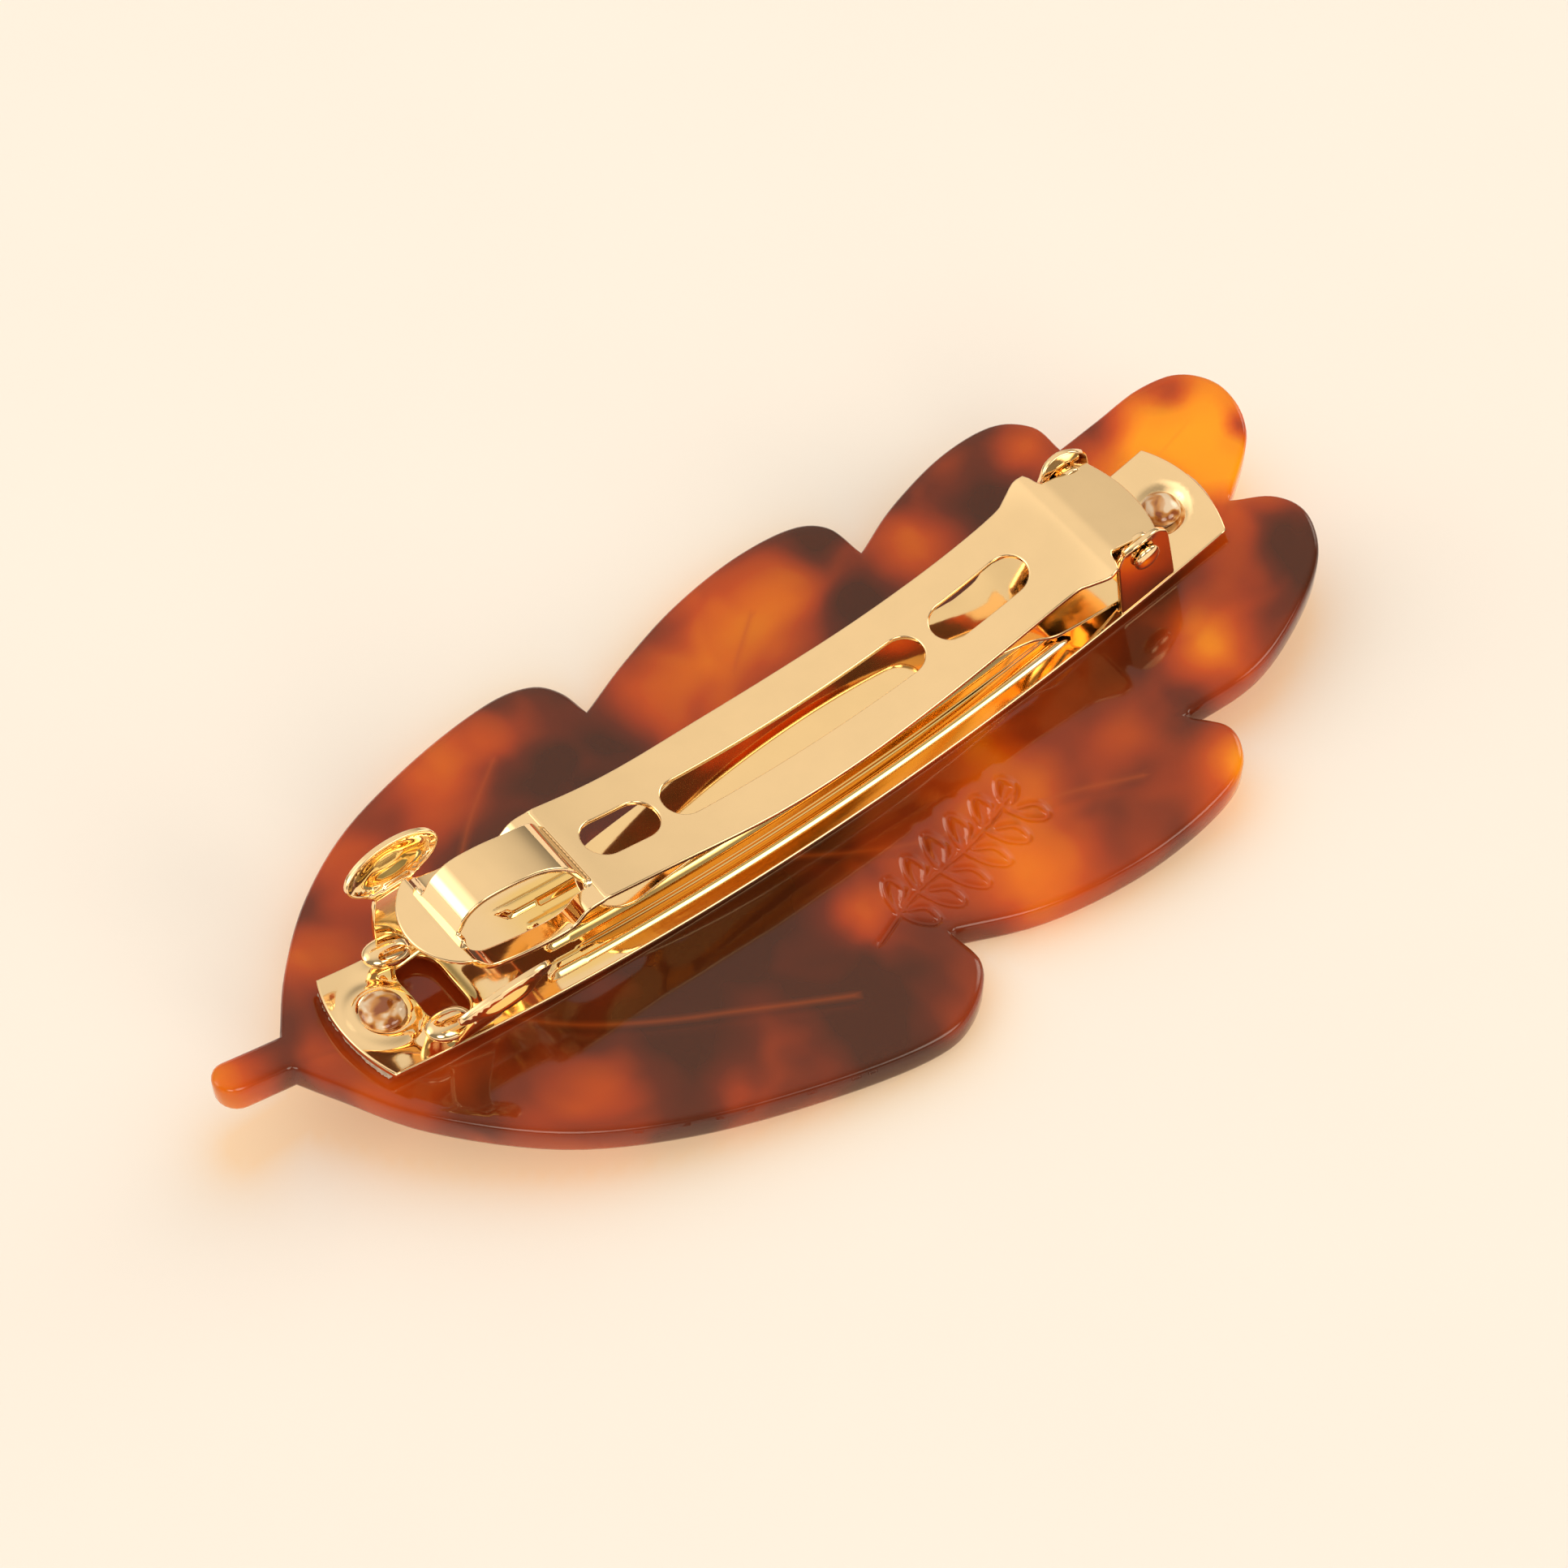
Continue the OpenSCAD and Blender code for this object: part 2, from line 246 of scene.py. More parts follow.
def plan_mesh(loops, rings, spacing, fixed, dense):
    """Triangles that fill the loops, with each plan point's depth from the nearest rim.

    Each loop is repeated at each ring's depth, and a grid and the fixed points fill the rest."""
    points, edges, depth = [], [], []
    for loop in loops:
        way = inward(loop)
        count = len(loop)
        for ring in rings:
            first = len(points)
            points.extend(loop + way * ring)
            depth.extend([ring] * count)
            edges.extend((first + k, first + (k + 1) % count) for k in range(count))
    grid = away_from(grid_inside(loops, spacing, dense, rings[-1]), fixed, 0.6 * spacing)
    for extra in (grid, fixed):
        points.extend(extra)
        depth.extend([FAR_INSIDE] * len(extra))
    out = geometry.delaunay_2d_cdt([Vector(p) for p in points], edges, [], 0, 1e-5, True)
    plan = np.array([v[:] for v in out[0]])
    deep = np.array([max(depth[i] for i in source) if source else FAR_INSIDE for source in out[3]])
    tris = np.array([f for f in out[2] if len(f) == 3])
    tris = tris[inside(plan[tris].mean(1), loops)]
    return plan, tris, deep


def new_object(name, verts, faces, normals=None):
    mesh = bpy.data.meshes.new(name)
    mesh.from_pydata([tuple(v) for v in verts], [], [tuple(int(i) for i in f) for f in faces])
    mesh.polygons.foreach_set("use_smooth", [True] * len(mesh.polygons))
    mesh.update()
    if normals is not None:
        mesh.normals_split_custom_set_from_vertices([tuple(n) for n in normals])
    obj = bpy.data.objects.new(name, mesh)
    bpy.context.scene.collection.objects.link(obj)
    return obj


def surface_normals(place, plan, step=0.05):
    """Unit normals of the surface that place() gives."""
    along = place(plan + [step, 0]) - place(plan - [step, 0])
    across = place(plan + [0, step]) - place(plan - [0, step])
    up = np.cross(along, across)
    return up / np.linalg.norm(up, axis=1)[:, None]


def shell_faces(tris, count):
    """Top triangles, the same turned over for the underside, and walls along the open sides."""
    faces = [list(t) for t in tris] + [[a + count, c + count, b + count] for a, b, c in tris]
    sides = [(int(i), int(j)) for a, b, c in tris for i, j in ((a, b), (b, c), (c, a))]
    shared = set(sides)
    walls = [[j, i, i + count, j + count] for i, j in sides if (j, i) not in shared]
    return faces + walls


def add_mark(obj, label, values):
    """A number on each vertex, for the materials."""
    layer = obj.data.attributes.new(label, "FLOAT", "POINT")
    layer.data.foreach_set("value", np.asarray(values).astype(np.float32))


def slab(name, loops, place, half, edge, spacing, fixed=(), dense=(), relief_top=None,
         relief_under=None, marks=None, upright=False):
    """A sheet with rounded rims: loops in the plan, place(plan) gives its middle surface in millimetres.

    upright lays the thickness along Z, so that the walls stand straight up."""
    loops = [turned(loops[0], True)] + [turned(hole, False) for hole in loops[1:]]
    fixed = np.array(fixed) if len(fixed) else np.zeros((0, 2))
    plan, tris, deep = plan_mesh(loops, RIM_RINGS * edge, spacing, fixed, dense)
    middle = place(plan)
    up = surface_normals(place, plan)
    out = np.tile([0.0, 0.0, 1.0], (len(plan), 1)) if upright else up
    thick = half(plan) if callable(half) else np.full(len(plan), half)
    round_r = np.minimum(thick, edge) * ROUND_SHARE
    quarter = np.sqrt(np.clip(1 - (1 - np.clip(deep / edge, 0, 1)) ** 2, 0, 1))
    height = thick - round_r * (1 - quarter)
    top = middle + out * height[:, None]
    under = middle - out * height[:, None]
    normals = np.zeros((2 * len(plan), 3))
    flat = deep >= edge
    if relief_top is None:
        normals[:len(plan)][flat] = up[flat]
    else:
        top += out * relief_top(plan)[:, None]
    if relief_under is None:
        normals[len(plan):][flat] = -up[flat]
    else:
        under -= out * relief_under(plan)[:, None]
    obj = new_object(name, to_world(np.vstack([top, under])), shell_faces(tris, len(plan)), normals)
    for label, value in (marks or {}).items():
        add_mark(obj, label, np.tile(value(plan), 2))
    return obj


def tube_faces(rings, count):
    """Faces round a stack of rings of count vertices each, with both ends closed."""
    last = (rings - 1) * count
    faces = []
    for first in range(0, last, count):
        sides = [(first + k, first + (k + 1) % count) for k in range(count)]
        faces += [[a, b, b + count, a + count] for a, b in sides]
    return faces + [list(range(last, last + count)), list(range(count))[::-1]]


def lathe(name, profile, centre, axis, count):
    """Turns [radius, height] points round an axis through centre."""
    axis = Vector(axis).normalized()
    side = axis.orthogonal().normalized()
    other = axis.cross(side)
    verts = []
    for r, h in profile:
        for k in range(count):
            a = 2 * math.pi * k / count
            verts.append(Vector(centre) + axis * h + (side * math.cos(a) + other * math.sin(a)) * r)
    return new_object(name, to_world([v[:] for v in verts]), tube_faces(len(profile), count))


def joined(name, objects):
    """Several meshes as one object."""
    for obj in bpy.context.selected_objects:
        obj.select_set(False)
    for obj in objects:
        obj.select_set(True)
    bpy.context.view_layer.objects.active = objects[0]
    bpy.ops.object.join()
    objects[0].name = name
    return objects[0]


# ---------------------------------------------------------------- materials

def new_material(name):
    mat = bpy.data.materials.new(name)
    mat.use_nodes = True
    return mat, mat.node_tree.nodes, mat.node_tree.links, mat.node_tree.nodes["Principled BSDF"]


def noise(nodes, links, vector, scale, **settings):
    node = nodes.new("ShaderNodeTexNoise")
    links.new(vector, node.inputs["Vector"])
    node.inputs["Scale"].default_value = scale
    for key, value in settings.items():
        node.inputs[key].default_value = value
    return node


def ramp(nodes, stops):
    node = nodes.new("ShaderNodeValToRGB")
    elements = node.color_ramp.elements
    while len(elements) < len(stops):
        elements.new(0.5)
    for element, (position, colour) in zip(elements, stops):
        element.position = position
        element.color = (*colour, 1)
    return node


def srgb(hexed):
    parts = [int(hexed[k:k + 2], 16) / 255 for k in (0, 2, 4)]
    return tuple(p / 12.92 if p <= 0.04045 else ((p + 0.055) / 1.055) ** 2.4 for p in parts)


def add_bump(nodes, links, shader, height, strength, distance):
    bump = nodes.new("ShaderNodeBump")
    bump.inputs["Strength"].default_value = strength
    bump.inputs["Distance"].default_value = distance
    links.new(height, bump.inputs["Height"])
    links.new(bump.outputs["Normal"], shader.inputs["Normal"])


def marked(nodes, links, colour, mark, tint):
    """The colour, mixed towards a tint by a mark on the vertices."""
    amount = nodes.new("ShaderNodeAttribute")
    amount.attribute_name = mark
    mix = nodes.new("ShaderNodeMix")
    mix.data_type = "RGBA"
    mix.inputs["B"].default_value = (*tint, 1)
    links.new(amount.outputs["Fac"], mix.inputs["Factor"])
    links.new(colour, mix.inputs["A"])
    return mix.outputs["Result"]


def set_shader(shader, **settings):
    """Constant values on the shader's sockets, with _ for each space in a socket's name."""
    for key, value in settings.items():
        shader.inputs[key.replace("_", " ")].default_value = value


def cloud_and_amber(nodes, links, place):
    """Warped cloud noise, lifted or lowered by the leaf's amber mark."""
    warp = noise(nodes, links, place, 130, Detail=1.0)
    shift = nodes.new("ShaderNodeVectorMath")
    shift.operation = "MULTIPLY_ADD"
    shift.inputs[1].default_value = (0.008, 0.008, 0.0)
    links.new(warp.outputs["Color"], shift.inputs[0])
    links.new(place, shift.inputs[2])
    cloud = noise(nodes, links, shift.outputs["Vector"], 78, Detail=2.2, Roughness=0.5)
    amber = nodes.new("ShaderNodeAttribute")
    amber.attribute_name = "amber"
    total = nodes.new("ShaderNodeMath")
    total.operation = "ADD"
    links.new(cloud.outputs["Fac"], total.inputs[0])
    links.new(amber.outputs["Fac"], total.inputs[1])
    return total.outputs["Value"]


def tortoiseshell():
    """Mottled acetate: dark brown cloud over amber, with depth, under a high polish."""
    mat, nodes, links, shader = new_material("tortoiseshell_acetate")
    place = nodes.new("ShaderNodeTexCoord").outputs["Object"]
    colours = ramp(nodes, [
        (0.40, srgb("542813")), (0.50, srgb("722f15")), (0.60, srgb("a84217")),
        (0.71, srgb("ca5613")), (0.84, srgb("e67c0e")), (1.0, srgb("ffab0c"))])
    links.new(cloud_and_amber(nodes, links, place), colours.inputs["Fac"])
    veined = marked(nodes, links, colours.outputs["Color"], "vein", srgb("c45b20"))
    links.new(veined, shader.inputs["Base Color"])
    set_shader(shader, Roughness=0.06, IOR=1.45, Specular_IOR_Level=0.45, Transmission_Weight=0.35)
    set_shader(shader, Subsurface_Weight=0.12, Subsurface_Scale=1.0)
    set_shader(shader, Subsurface_Radius=(0.0024, 0.0010, 0.0003))
    ripple = noise(nodes, links, place, 220, Detail=1.0)
    add_bump(nodes, links, shader, ripple.outputs["Fac"], 0.25, 0.00006)
    return mat


def gold(name, tint, roughness):
    """Mirror-polished pale gold plating with faint rolling marks and haze, and a painted reflection that
    deepens its colour where the deep mark says.
    """
    mat, nodes, links, shader = new_material(name)
    place = nodes.new("ShaderNodeTexCoord").outputs["Object"]
    haze = noise(nodes, links, place, 300, Detail=3.0)
    tone = ramp(nodes, [(0.35, tuple(c * 0.97 for c in tint)), (0.65, tint)])
    links.new(haze.outputs["Fac"], tone.inputs["Fac"])
    # The deep mark mixes in painted reflection: deeper gold where the gold and amber round a recess would be
    # mirrored.
    links.new(marked(nodes, links, tone.outputs["Color"], "deep", PAINTED_REFLECTION_GOLD), shader.inputs["Base Color"])
    set_shader(shader, Metallic=1.0)
    gloss = nodes.new("ShaderNodeMapRange")
    gloss.inputs["To Min"].default_value = roughness
    gloss.inputs["To Max"].default_value = roughness * 2.2
    links.new(haze.outputs["Fac"], gloss.inputs["Value"])
    links.new(gloss.outputs["Result"], shader.inputs["Roughness"])
    stretch = nodes.new("ShaderNodeMapping")
    stretch.inputs["Scale"].default_value = (60, 2600, 2600)
    links.new(place, stretch.inputs["Vector"])
    scratches = noise(nodes, links, stretch.outputs["Vector"], 1.0, Detail=2.0)
    add_bump(nodes, links, shader, scratches.outputs["Fac"], 0.12, 0.000012)
    return mat


def resin():
    """Clear adhesive over brown acetate with small waves; its colour is painted: amber depths for the
    acetate seen through it, and pale glints.
    """
    mat, nodes, links, shader = new_material("clear_resin")
    place = nodes.new("ShaderNodeTexCoord").outputs["Object"]
    waves = noise(nodes, links, place, 700, Detail=1.5, Distortion=0.6)
    # Painted see-through and glints: the brown and amber stops paint the acetate under the clear resin, the
    # pale stop paints glints.
    tone = ramp(nodes, [(0.38, srgb("9c5220")), (0.48, srgb("dc9a4e")), (0.58, srgb("fae4c6"))])
    links.new(waves.outputs["Fac"], tone.inputs["Fac"])
    links.new(tone.outputs["Color"], shader.inputs["Base Color"])
    set_shader(shader, Transmission_Weight=0.2, Roughness=0.04, IOR=1.48)
    set_shader(shader, Coat_Weight=0.6, Coat_Roughness=0.02)
    add_bump(nodes, links, shader, waves.outputs["Fac"], 0.5, 0.00012)
    return mat


def glue():
    """Off-white adhesive with a fibrous, crumbly skin."""
    mat, nodes, links, shader = new_material("glue")
    place = nodes.new("ShaderNodeTexCoord").outputs["Object"]
    grain = noise(nodes, links, place, 2600, Detail=5.0, Roughness=0.7)
    tone = ramp(nodes, [(0.3, srgb("a99a84")), (0.7, srgb("e9e0cf"))])
    links.new(grain.outputs["Fac"], tone.inputs["Fac"])
    links.new(tone.outputs["Color"], shader.inputs["Base Color"])
    set_shader(shader, Roughness=0.8)
    add_bump(nodes, links, shader, grain.outputs["Fac"], 0.8, 0.00015)
    return mat


def floor_paper():
    """Pale paper, with painted warm light beside the leaf for the light the amber acetate throws on it."""
    mat, nodes, links, shader = new_material("floor_paper")
    place = nodes.new("ShaderNodeTexCoord").outputs["Object"]
    grain = noise(nodes, links, place, 40, Detail=2.0)
    tone = ramp(nodes, [(0.3, FLOOR_COLOUR), (0.7, tuple(c * 1.01 for c in FLOOR_COLOUR))])
    links.new(grain.outputs["Fac"], tone.inputs["Fac"])
    # The mark mixes in painted warm light beside the leaf.
    links.new(marked(nodes, links, tone.outputs["Color"], "painted_glow", FLOOR_PAINTED_GLOW), shader.inputs["Base Color"])
    set_shader(shader, Roughness=0.7)
    return mat


GOLD_TINT = (1.0, 0.745, 0.43)
SPRING_TINT = (1.0, 0.73, 0.39)
# Colour of the painted reflection in the dish, on the ribs under the arm and round the window
PAINTED_REFLECTION_GOLD = (0.97, 0.66, 0.18)
FLOOR_COLOUR = (0.885, 0.855, 0.845)
# Colour of the painted warm light on the floor beside the leaf
FLOOR_PAINTED_GLOW = (0.93, 0.73, 0.53)
MATERIALS = {
    "acetate": tortoiseshell(),
    "gold": gold("gold_plated_steel", GOLD_TINT, 0.035),
    "spring": gold("gold_plated_spring", SPRING_TINT, 0.05),
    "resin": resin(),
    "glue": glue(),
}


def finish_piece(obj, material, body, node):
    """Gives a piece its material and body, in place of its CAD node, which it hides."""
    obj.data.materials.clear()
    obj.data.materials.append(MATERIALS[material])
    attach(obj, body)
    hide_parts(node)
    return obj


# ---------------------------------------------------------------- leaf

def bend_height(x, radius):
    """Height gained at x on a face bent to this radius."""
    return radius - np.sqrt(radius ** 2 - np.asarray(x, float) ** 2)


# The stem's round end, then the outline's control points: the far edge from the stem to the tip, and the
# near edge back to the stem
STEM_R = 1.55
STEM_END = (-49.8, 1.45)
FAR_LOBES = [
    [(-44.8, 3), (-41.2, 7.8), (-36, 12.9), (-29.3, 17.1), (-20.9, 19.9), (-13.5, 21.1), (-9.6, 20.5),
     (-7.9, 18.6), (-7.4, 15.9)],
    [(-7.4, 15.9), (-2.2, 18), (4, 19.8), (10.5, 20.5), (15.8, 19.8), (18.3, 17.8), (18.8, 14.2)],
    [(18.8, 14.2), (23.2, 15.9), (29, 16.9), (33.8, 16.2), (36.2, 13.7), (36.4, 10.6)],
]
TIP_LOBE = [(36.4, 10.6), (40, 10.5), (44.2, 10.3), (47.4, 8.8), (48.9, 5.3), (47.6, 1), (42.8, -2.6)]
NEAR_LOBES = [
    [(42.8, -2.6), (45.4, -4.8), (46.2, -7.8), (44.4, -11.2), (40, -13.8), (34.5, -15.3), (28, -14.6)],
    [(28, -14.6), (29.9, -17.8), (28.3, -20.9), (24, -22.1), (17, -22.1), (9, -20.5), (2.1, -17.5)],
    [(2.1, -17.5), (2.2, -21.2), (-1.2, -24), (-5.5, -24.4), (-14, -22.5), (-24, -19.3), (-32.6, -15),
     (-39.9, -8.6), (-43.8, -2.9), (-45.6, -0.1)],
]


def leaf_outline():
    stem = arc(*STEM_END, STEM_R, 3 * math.pi / 2, math.pi / 2, 10)
    curves = [smooth(lobe, 6)[:-1] for lobe in FAR_LOBES + [TIP_LOBE] + NEAR_LOBES]
    return np.vstack([stem] + curves + [NEAR_LOBES[-1][-1]])


def split_at_corners(loop, step, turn):
    """The loop evenly resampled between its sharp corners, which stay."""
    ahead = np.roll(loop, -1, axis=0) - loop
    heading = np.arctan2(ahead[:, 1], ahead[:, 0])
    bend = (heading - np.roll(heading, 1) + math.pi) % (2 * math.pi) - math.pi
    corners = np.flatnonzero(np.abs(bend) > turn)
    parts = []
    for a, b in zip(corners, np.roll(corners, -1)):
        b = b if b > a else b + len(loop)
        section = loop[np.arange(a, b + 1) % len(loop)]
        parts.append(resample(section, step)[:-1])
    return np.vstack(parts)


# Veins engraved in the decor face, in order: midrib, then one to each lobe
VEINS = [
    [(-48, 1.4), (-36, -0.6), (-20, -1.4), (0, -0.2), (20, 2.0), (36, 4.0), (46, 5.4)],
    [(-33, -0.9), (-26.9, -6.9), (-21.3, -10.5), (-14.7, -13.8), (-7.5, -17.5)],
    [(-12, -1.0), (-4.7, -4.1), (0.6, -7.4), (5.7, -10.1), (15.9, -13.5), (22, -16.5)],
    [(12, 1.0), (20, -2.0), (29, -6.0), (38, -9.2)],
    [(-34, -0.4), (-27, 6.5), (-21.4, 12.1), (-16.2, 16.1)],
    [(-10, 0.4), (-2, 6.0), (4, 11.7), (8.1, 14.9)],
    [(14, 1.8), (21, 7.0), (28, 11.0), (32, 13.4)],
]
VEIN_HALF = 0.42
VEIN_DEPTH = 0.4
# Veins that show through the sheet
VEINS_SEEN = [VEINS[1], VEINS[2], VEINS[4][1:], VEINS[5][2:]]
VEIN_SEEN_HALF = 0.22
VEIN_SEEN_TONE = 0.45
# Amber windows in the cloud, then darker spots: x, y, radius, strength
AMBER = [
    (45.5, 6.0, 6.5, 0.62), (40, 5.0, 4.0, 0.2), (45, -0.5, 3.5, 0.3), (-50, 1.5, 3.4, 0.30),
    (-44, 1.5, 3.0, 0.08), (-32, 14.0, 4.5, 0.24), (-21, 17, 4.5, 0.26), (-14, 18, 3.0, 0.2),
    (-24, 13, 3.0, 0.1), (6.5, 14.5, 5.5, 0.36), (12, 15, 3.5, 0.22), (-1, 14, 4.0, 0.2),
    (22, 12, 3.0, 0.2), (29, 15.5, 3.0, 0.2), (34, 12, 3.2, 0.34), (9.5, -17, 4.2, 0.2),
    (16, -11.5, 3.0, 0.14), (23, -12, 3.0, 0.14), (28.5, -20.5, 2.6, 0.38), (-20, -19, 3.0, 0.2),
    (-27, -13, 4.0, 0.12), (-2, -11.5, 2.5, 0.14), (33.4, -10.8, 2.6, 0.26), (45, -5, 2.2, 0.14),
    (-38, 8, 4.0, 0.22), (-14, -22, 3.5, 0.08),
    (28, -8, 3.0, -0.06), (-11, 11, 4.5, -0.2), (-9, -10, 7.0, -0.12), (-38, -8, 3.5, -0.14),
    (16, 11, 2.5, -0.14), (16.5, 17, 2.5, -0.12), (39.5, 9.5, 2.4, -0.26), (36, -5.5, 3.0, -0.2),
    (42.6, -8, 2.5, -0.08), (28, -15, 3.0, -0.24), (-3, -18, 4.0, -0.12), (-22, 9, 3.5, -0.1),
    (24, 16, 2.0, -0.1), (45.6, 8.0, 1.7, -0.34), (47.2, 1.8, 1.2, -0.3),
]


def nearest(plan, lines):
    """Distance from plan points to the nearest of several curves."""
    return np.min([distance_to(plan, resample(smooth(line, 8), 0.5), False) for line in lines], axis=0)


def groove(plan, lines, half, depth):
    """Height of round-bottomed grooves with soft shoulders along several curves."""
    return -depth * np.exp(-(nearest(plan, lines) / half) ** 2)


def groove_points(lines, half, step):
    """Plan points that give the grooves their shape."""
    points = []
    for line in lines:
        middle = resample(smooth(line, 8), step)
        ahead = np.gradient(middle, axis=0)
        ahead /= np.linalg.norm(ahead, axis=1)[:, None]
        side = np.stack([-ahead[:, 1], ahead[:, 0]], 1)
        for offset in (-2, -1.2, -0.6, 0, 0.6, 1.2, 2):
            points.append(middle + side * offset * half)
    return np.vstack(points)


# Sprig engraved on the back: a stalk and pairs of small leaflets
SPRIG_AT = (5.5, -13.0)
SPRIG_TURN = math.radians(8)
SPRIG_LEN = 17.0
SPRIG_HALF = 0.26
SPRIG_DEPTH = 0.3
LEAFLET_PAIRS = 6
LEAFLET_FIRST = -5.6
LEAFLET_STEP = 2.5


def sprig_lines():
    stalk = [(-SPRIG_LEN / 2, -0.8), (-3, 0.3), (3, 0.2), (SPRIG_LEN / 2, 1.0)]
    lines = [stalk]
    for k in range(LEAFLET_PAIRS):
        x = LEAFLET_FIRST + LEAFLET_STEP * k
        reach = 3.5 - 0.3 * abs(k - 2.2)
        for side in (-1, 1):
            lines.append([(x, 0.1), (x + 0.5, side * reach * 0.6), (x + 1.6, side * reach),
                          (x + 1.9, side * reach * 0.45), (x + 0.7, side * 0.3)])
    c, s = math.cos(SPRIG_TURN), math.sin(SPRIG_TURN)
    return [[(SPRIG_AT[0] + c * x - s * y, SPRIG_AT[1] + s * x + c * y) for x, y in line] for line in lines]


def clear_of(points, outline, gap):
    """Only the points that lie inside the outline by more than gap."""
    keep = inside(points, [outline]) & (distance_to(points, outline, True) > gap)
    return points[keep]


def thinned(points, gap):
    """Drops points closer than gap to one already kept, on a grid."""
    cells, kept = {}, []
    for p in points:
        key = (int(p[0] // gap), int(p[1] // gap))
        near = [q for i in (-1, 0, 1) for j in (-1, 0, 1) for q in cells.get((key[0] + i, key[1] + j), ())]
        if all((p[0] - q[0]) ** 2 + (p[1] - q[1]) ** 2 >= gap * gap for q in near):
            cells.setdefault(key, []).append(p)
            kept.append(p)
    return np.array(kept)


def leaf_faces(plan):
    """Heights of the leaf's lower and upper face."""
    return bend_height(plan[:, 0], LEAF_R + LEAF_T), LEAF_T + bend_height(plan[:, 0], LEAF_R)


def leaf_place(plan):
    return np.column_stack([plan, sum(leaf_faces(plan)) / 2])


def leaf_half(plan):
    """Half the leaf's thickness, a hair less than the CAD leaf's."""
    under, over = leaf_faces(plan)
    return (over - under) / 2 * LEAF_SLIM


def amber(plan):
    """How far the acetate's tone is lifted or lowered at each plan point."""
    value = np.zeros(len(plan))
    for x, y, r, strength in AMBER:
        value += strength * np.exp(-((plan[:, 0] - x) ** 2 + (plan[:, 1] - y) ** 2) / r ** 2)
    return value


def vein_seen(plan):
    """Share of the vein colour at each plan point."""
    return VEIN_SEEN_TONE * np.exp(-(nearest(plan, VEINS_SEEN) / VEIN_SEEN_HALF) ** 2)


def build_leaf():
    outline = turned(split_at_corners(leaf_outline(), 0.45, math.radians(38)), True)
    sprig = sprig_lines()
    fine = thinned(groove_points(sprig, SPRIG_HALF, 0.22), 0.1)
    fixed = thinned(np.vstack([fine, groove_points(VEINS, VEIN_HALF, 0.6)]), 0.1)
    fixed = clear_of(fixed, outline, LEAF_EDGE + 0.35)
    leaf = slab("leaf", [outline], leaf_place, leaf_half, LEAF_EDGE, 0.8, fixed, upright=True,
                relief_top=lambda plan: groove(plan, sprig, SPRIG_HALF, SPRIG_DEPTH),
                relief_under=lambda plan: groove(plan, VEINS, VEIN_HALF, VEIN_DEPTH),
                marks={"amber": amber, "vein": vein_seen})
    # Stands for the light that real acetate lets through
    leaf.visible_shadow = False
    return finish_piece(leaf, "acetate", "leaf_and_base", "leaf_plate")


# ---------------------------------------------------------------- base bar

def bar_mid(x):
    return BAR_Z + bend_height(x, BAR_R)


def bump(value, low, foot, top, high):
    """0 below low, 1 between foot and top, 0 above high."""
    return smoothstep(low, foot, value) * (1 - smoothstep(top, high, value))


# The ribs end in an arc of this radius round X = PLAIN_X
PLAIN_X = 28.6
PLAIN_R = 5.0
# Height of the two outer ribs as a share of the middle one's
RIM_RIB = 0.85
# Ring-shaped swell round the latch end's rivet: height, radius, width
RING_H, RING_R, RING_HALF = 0.5, 2.1, 0.8
# Dimple round the hinge end's rivet
DIMPLE_H = 0.38
# Bulges beside the fingers' feet: height, place, half-sizes
BULGE_H = 0.8
BULGE_AT = (-35.0, 3.35)
BULGE_HALF = (1.7, 1.05)
# The window's raised lip: height and width
LIP_H, LIP_HALF = 0.3, 0.55


def hinge_dimple(x, y):
    """Depth of the dimple at points at x from the bar's middle, on the hinge's side."""
    return DIMPLE_H * (1 - smoothstep(CRATER_R, CRATER_R + 1.1, np.hypot(x - CRATER_X, y)))


def off_window(plan):
    """Distance outside the window's rim, and 0 inside it."""
    past = np.maximum(np.abs(plan[:, 1]) - (WINDOW_LEN - WINDOW_W) / 2, 0)
    return np.maximum(np.hypot(plan[:, 0] - WINDOW_X, past) - WINDOW_W / 2, 0)


def bar_relief(plan):
    """Ribs, the swells round the rivets and at the fingers' feet, and the window's lip."""
    x, y = plan[:, 0], np.abs(plan[:, 1])
    ends = smoothstep(PLAIN_R - 0.3, PLAIN_R + 0.5, np.hypot(np.abs(x) - PLAIN_X, y))
    ribbed = np.where(np.abs(x) > PLAIN_X, 0, ends)
    ribs = RIB_H * (1 - smoothstep(0.9, 1.6, y)) + RIM_RIB * RIB_H * bump(y, 2.5, 2.9, 3.4, 3.9)
    height = ribbed * ribs
    height += RING_H * np.exp(-((np.hypot(x + CRATER_X, y) - RING_R) / RING_HALF) ** 2)
    height -= hinge_dimple(x, y)
    along, aside = (x - BULGE_AT[0]) / BULGE_HALF[0], (y - BULGE_AT[1]) / BULGE_HALF[1]
    height += BULGE_H * np.exp(-along ** 2 - aside ** 2)
    height += LIP_H * np.exp(-(off_window(plan) / LIP_HALF) ** 2)
    return height


def bar_place(plan):
    return np.column_stack([plan, bar_mid(plan[:, 0]) + bar_relief(plan)])


def bar_painted_reflection(plan):
    """Painted reflection: deeper gold on the ribs under the arm and round the window."""
    under_arm = 0.65 * bump(plan[:, 0], -27.0, -22.0, 16.0, 24.0)
    under_arm *= 1 - smoothstep(4.2, 4.8, np.abs(plan[:, 1]))
    round_window = 0.75 * np.exp(-(off_window(plan) / 1.1) ** 2)
    return np.clip(under_arm + round_window, 0, 1)


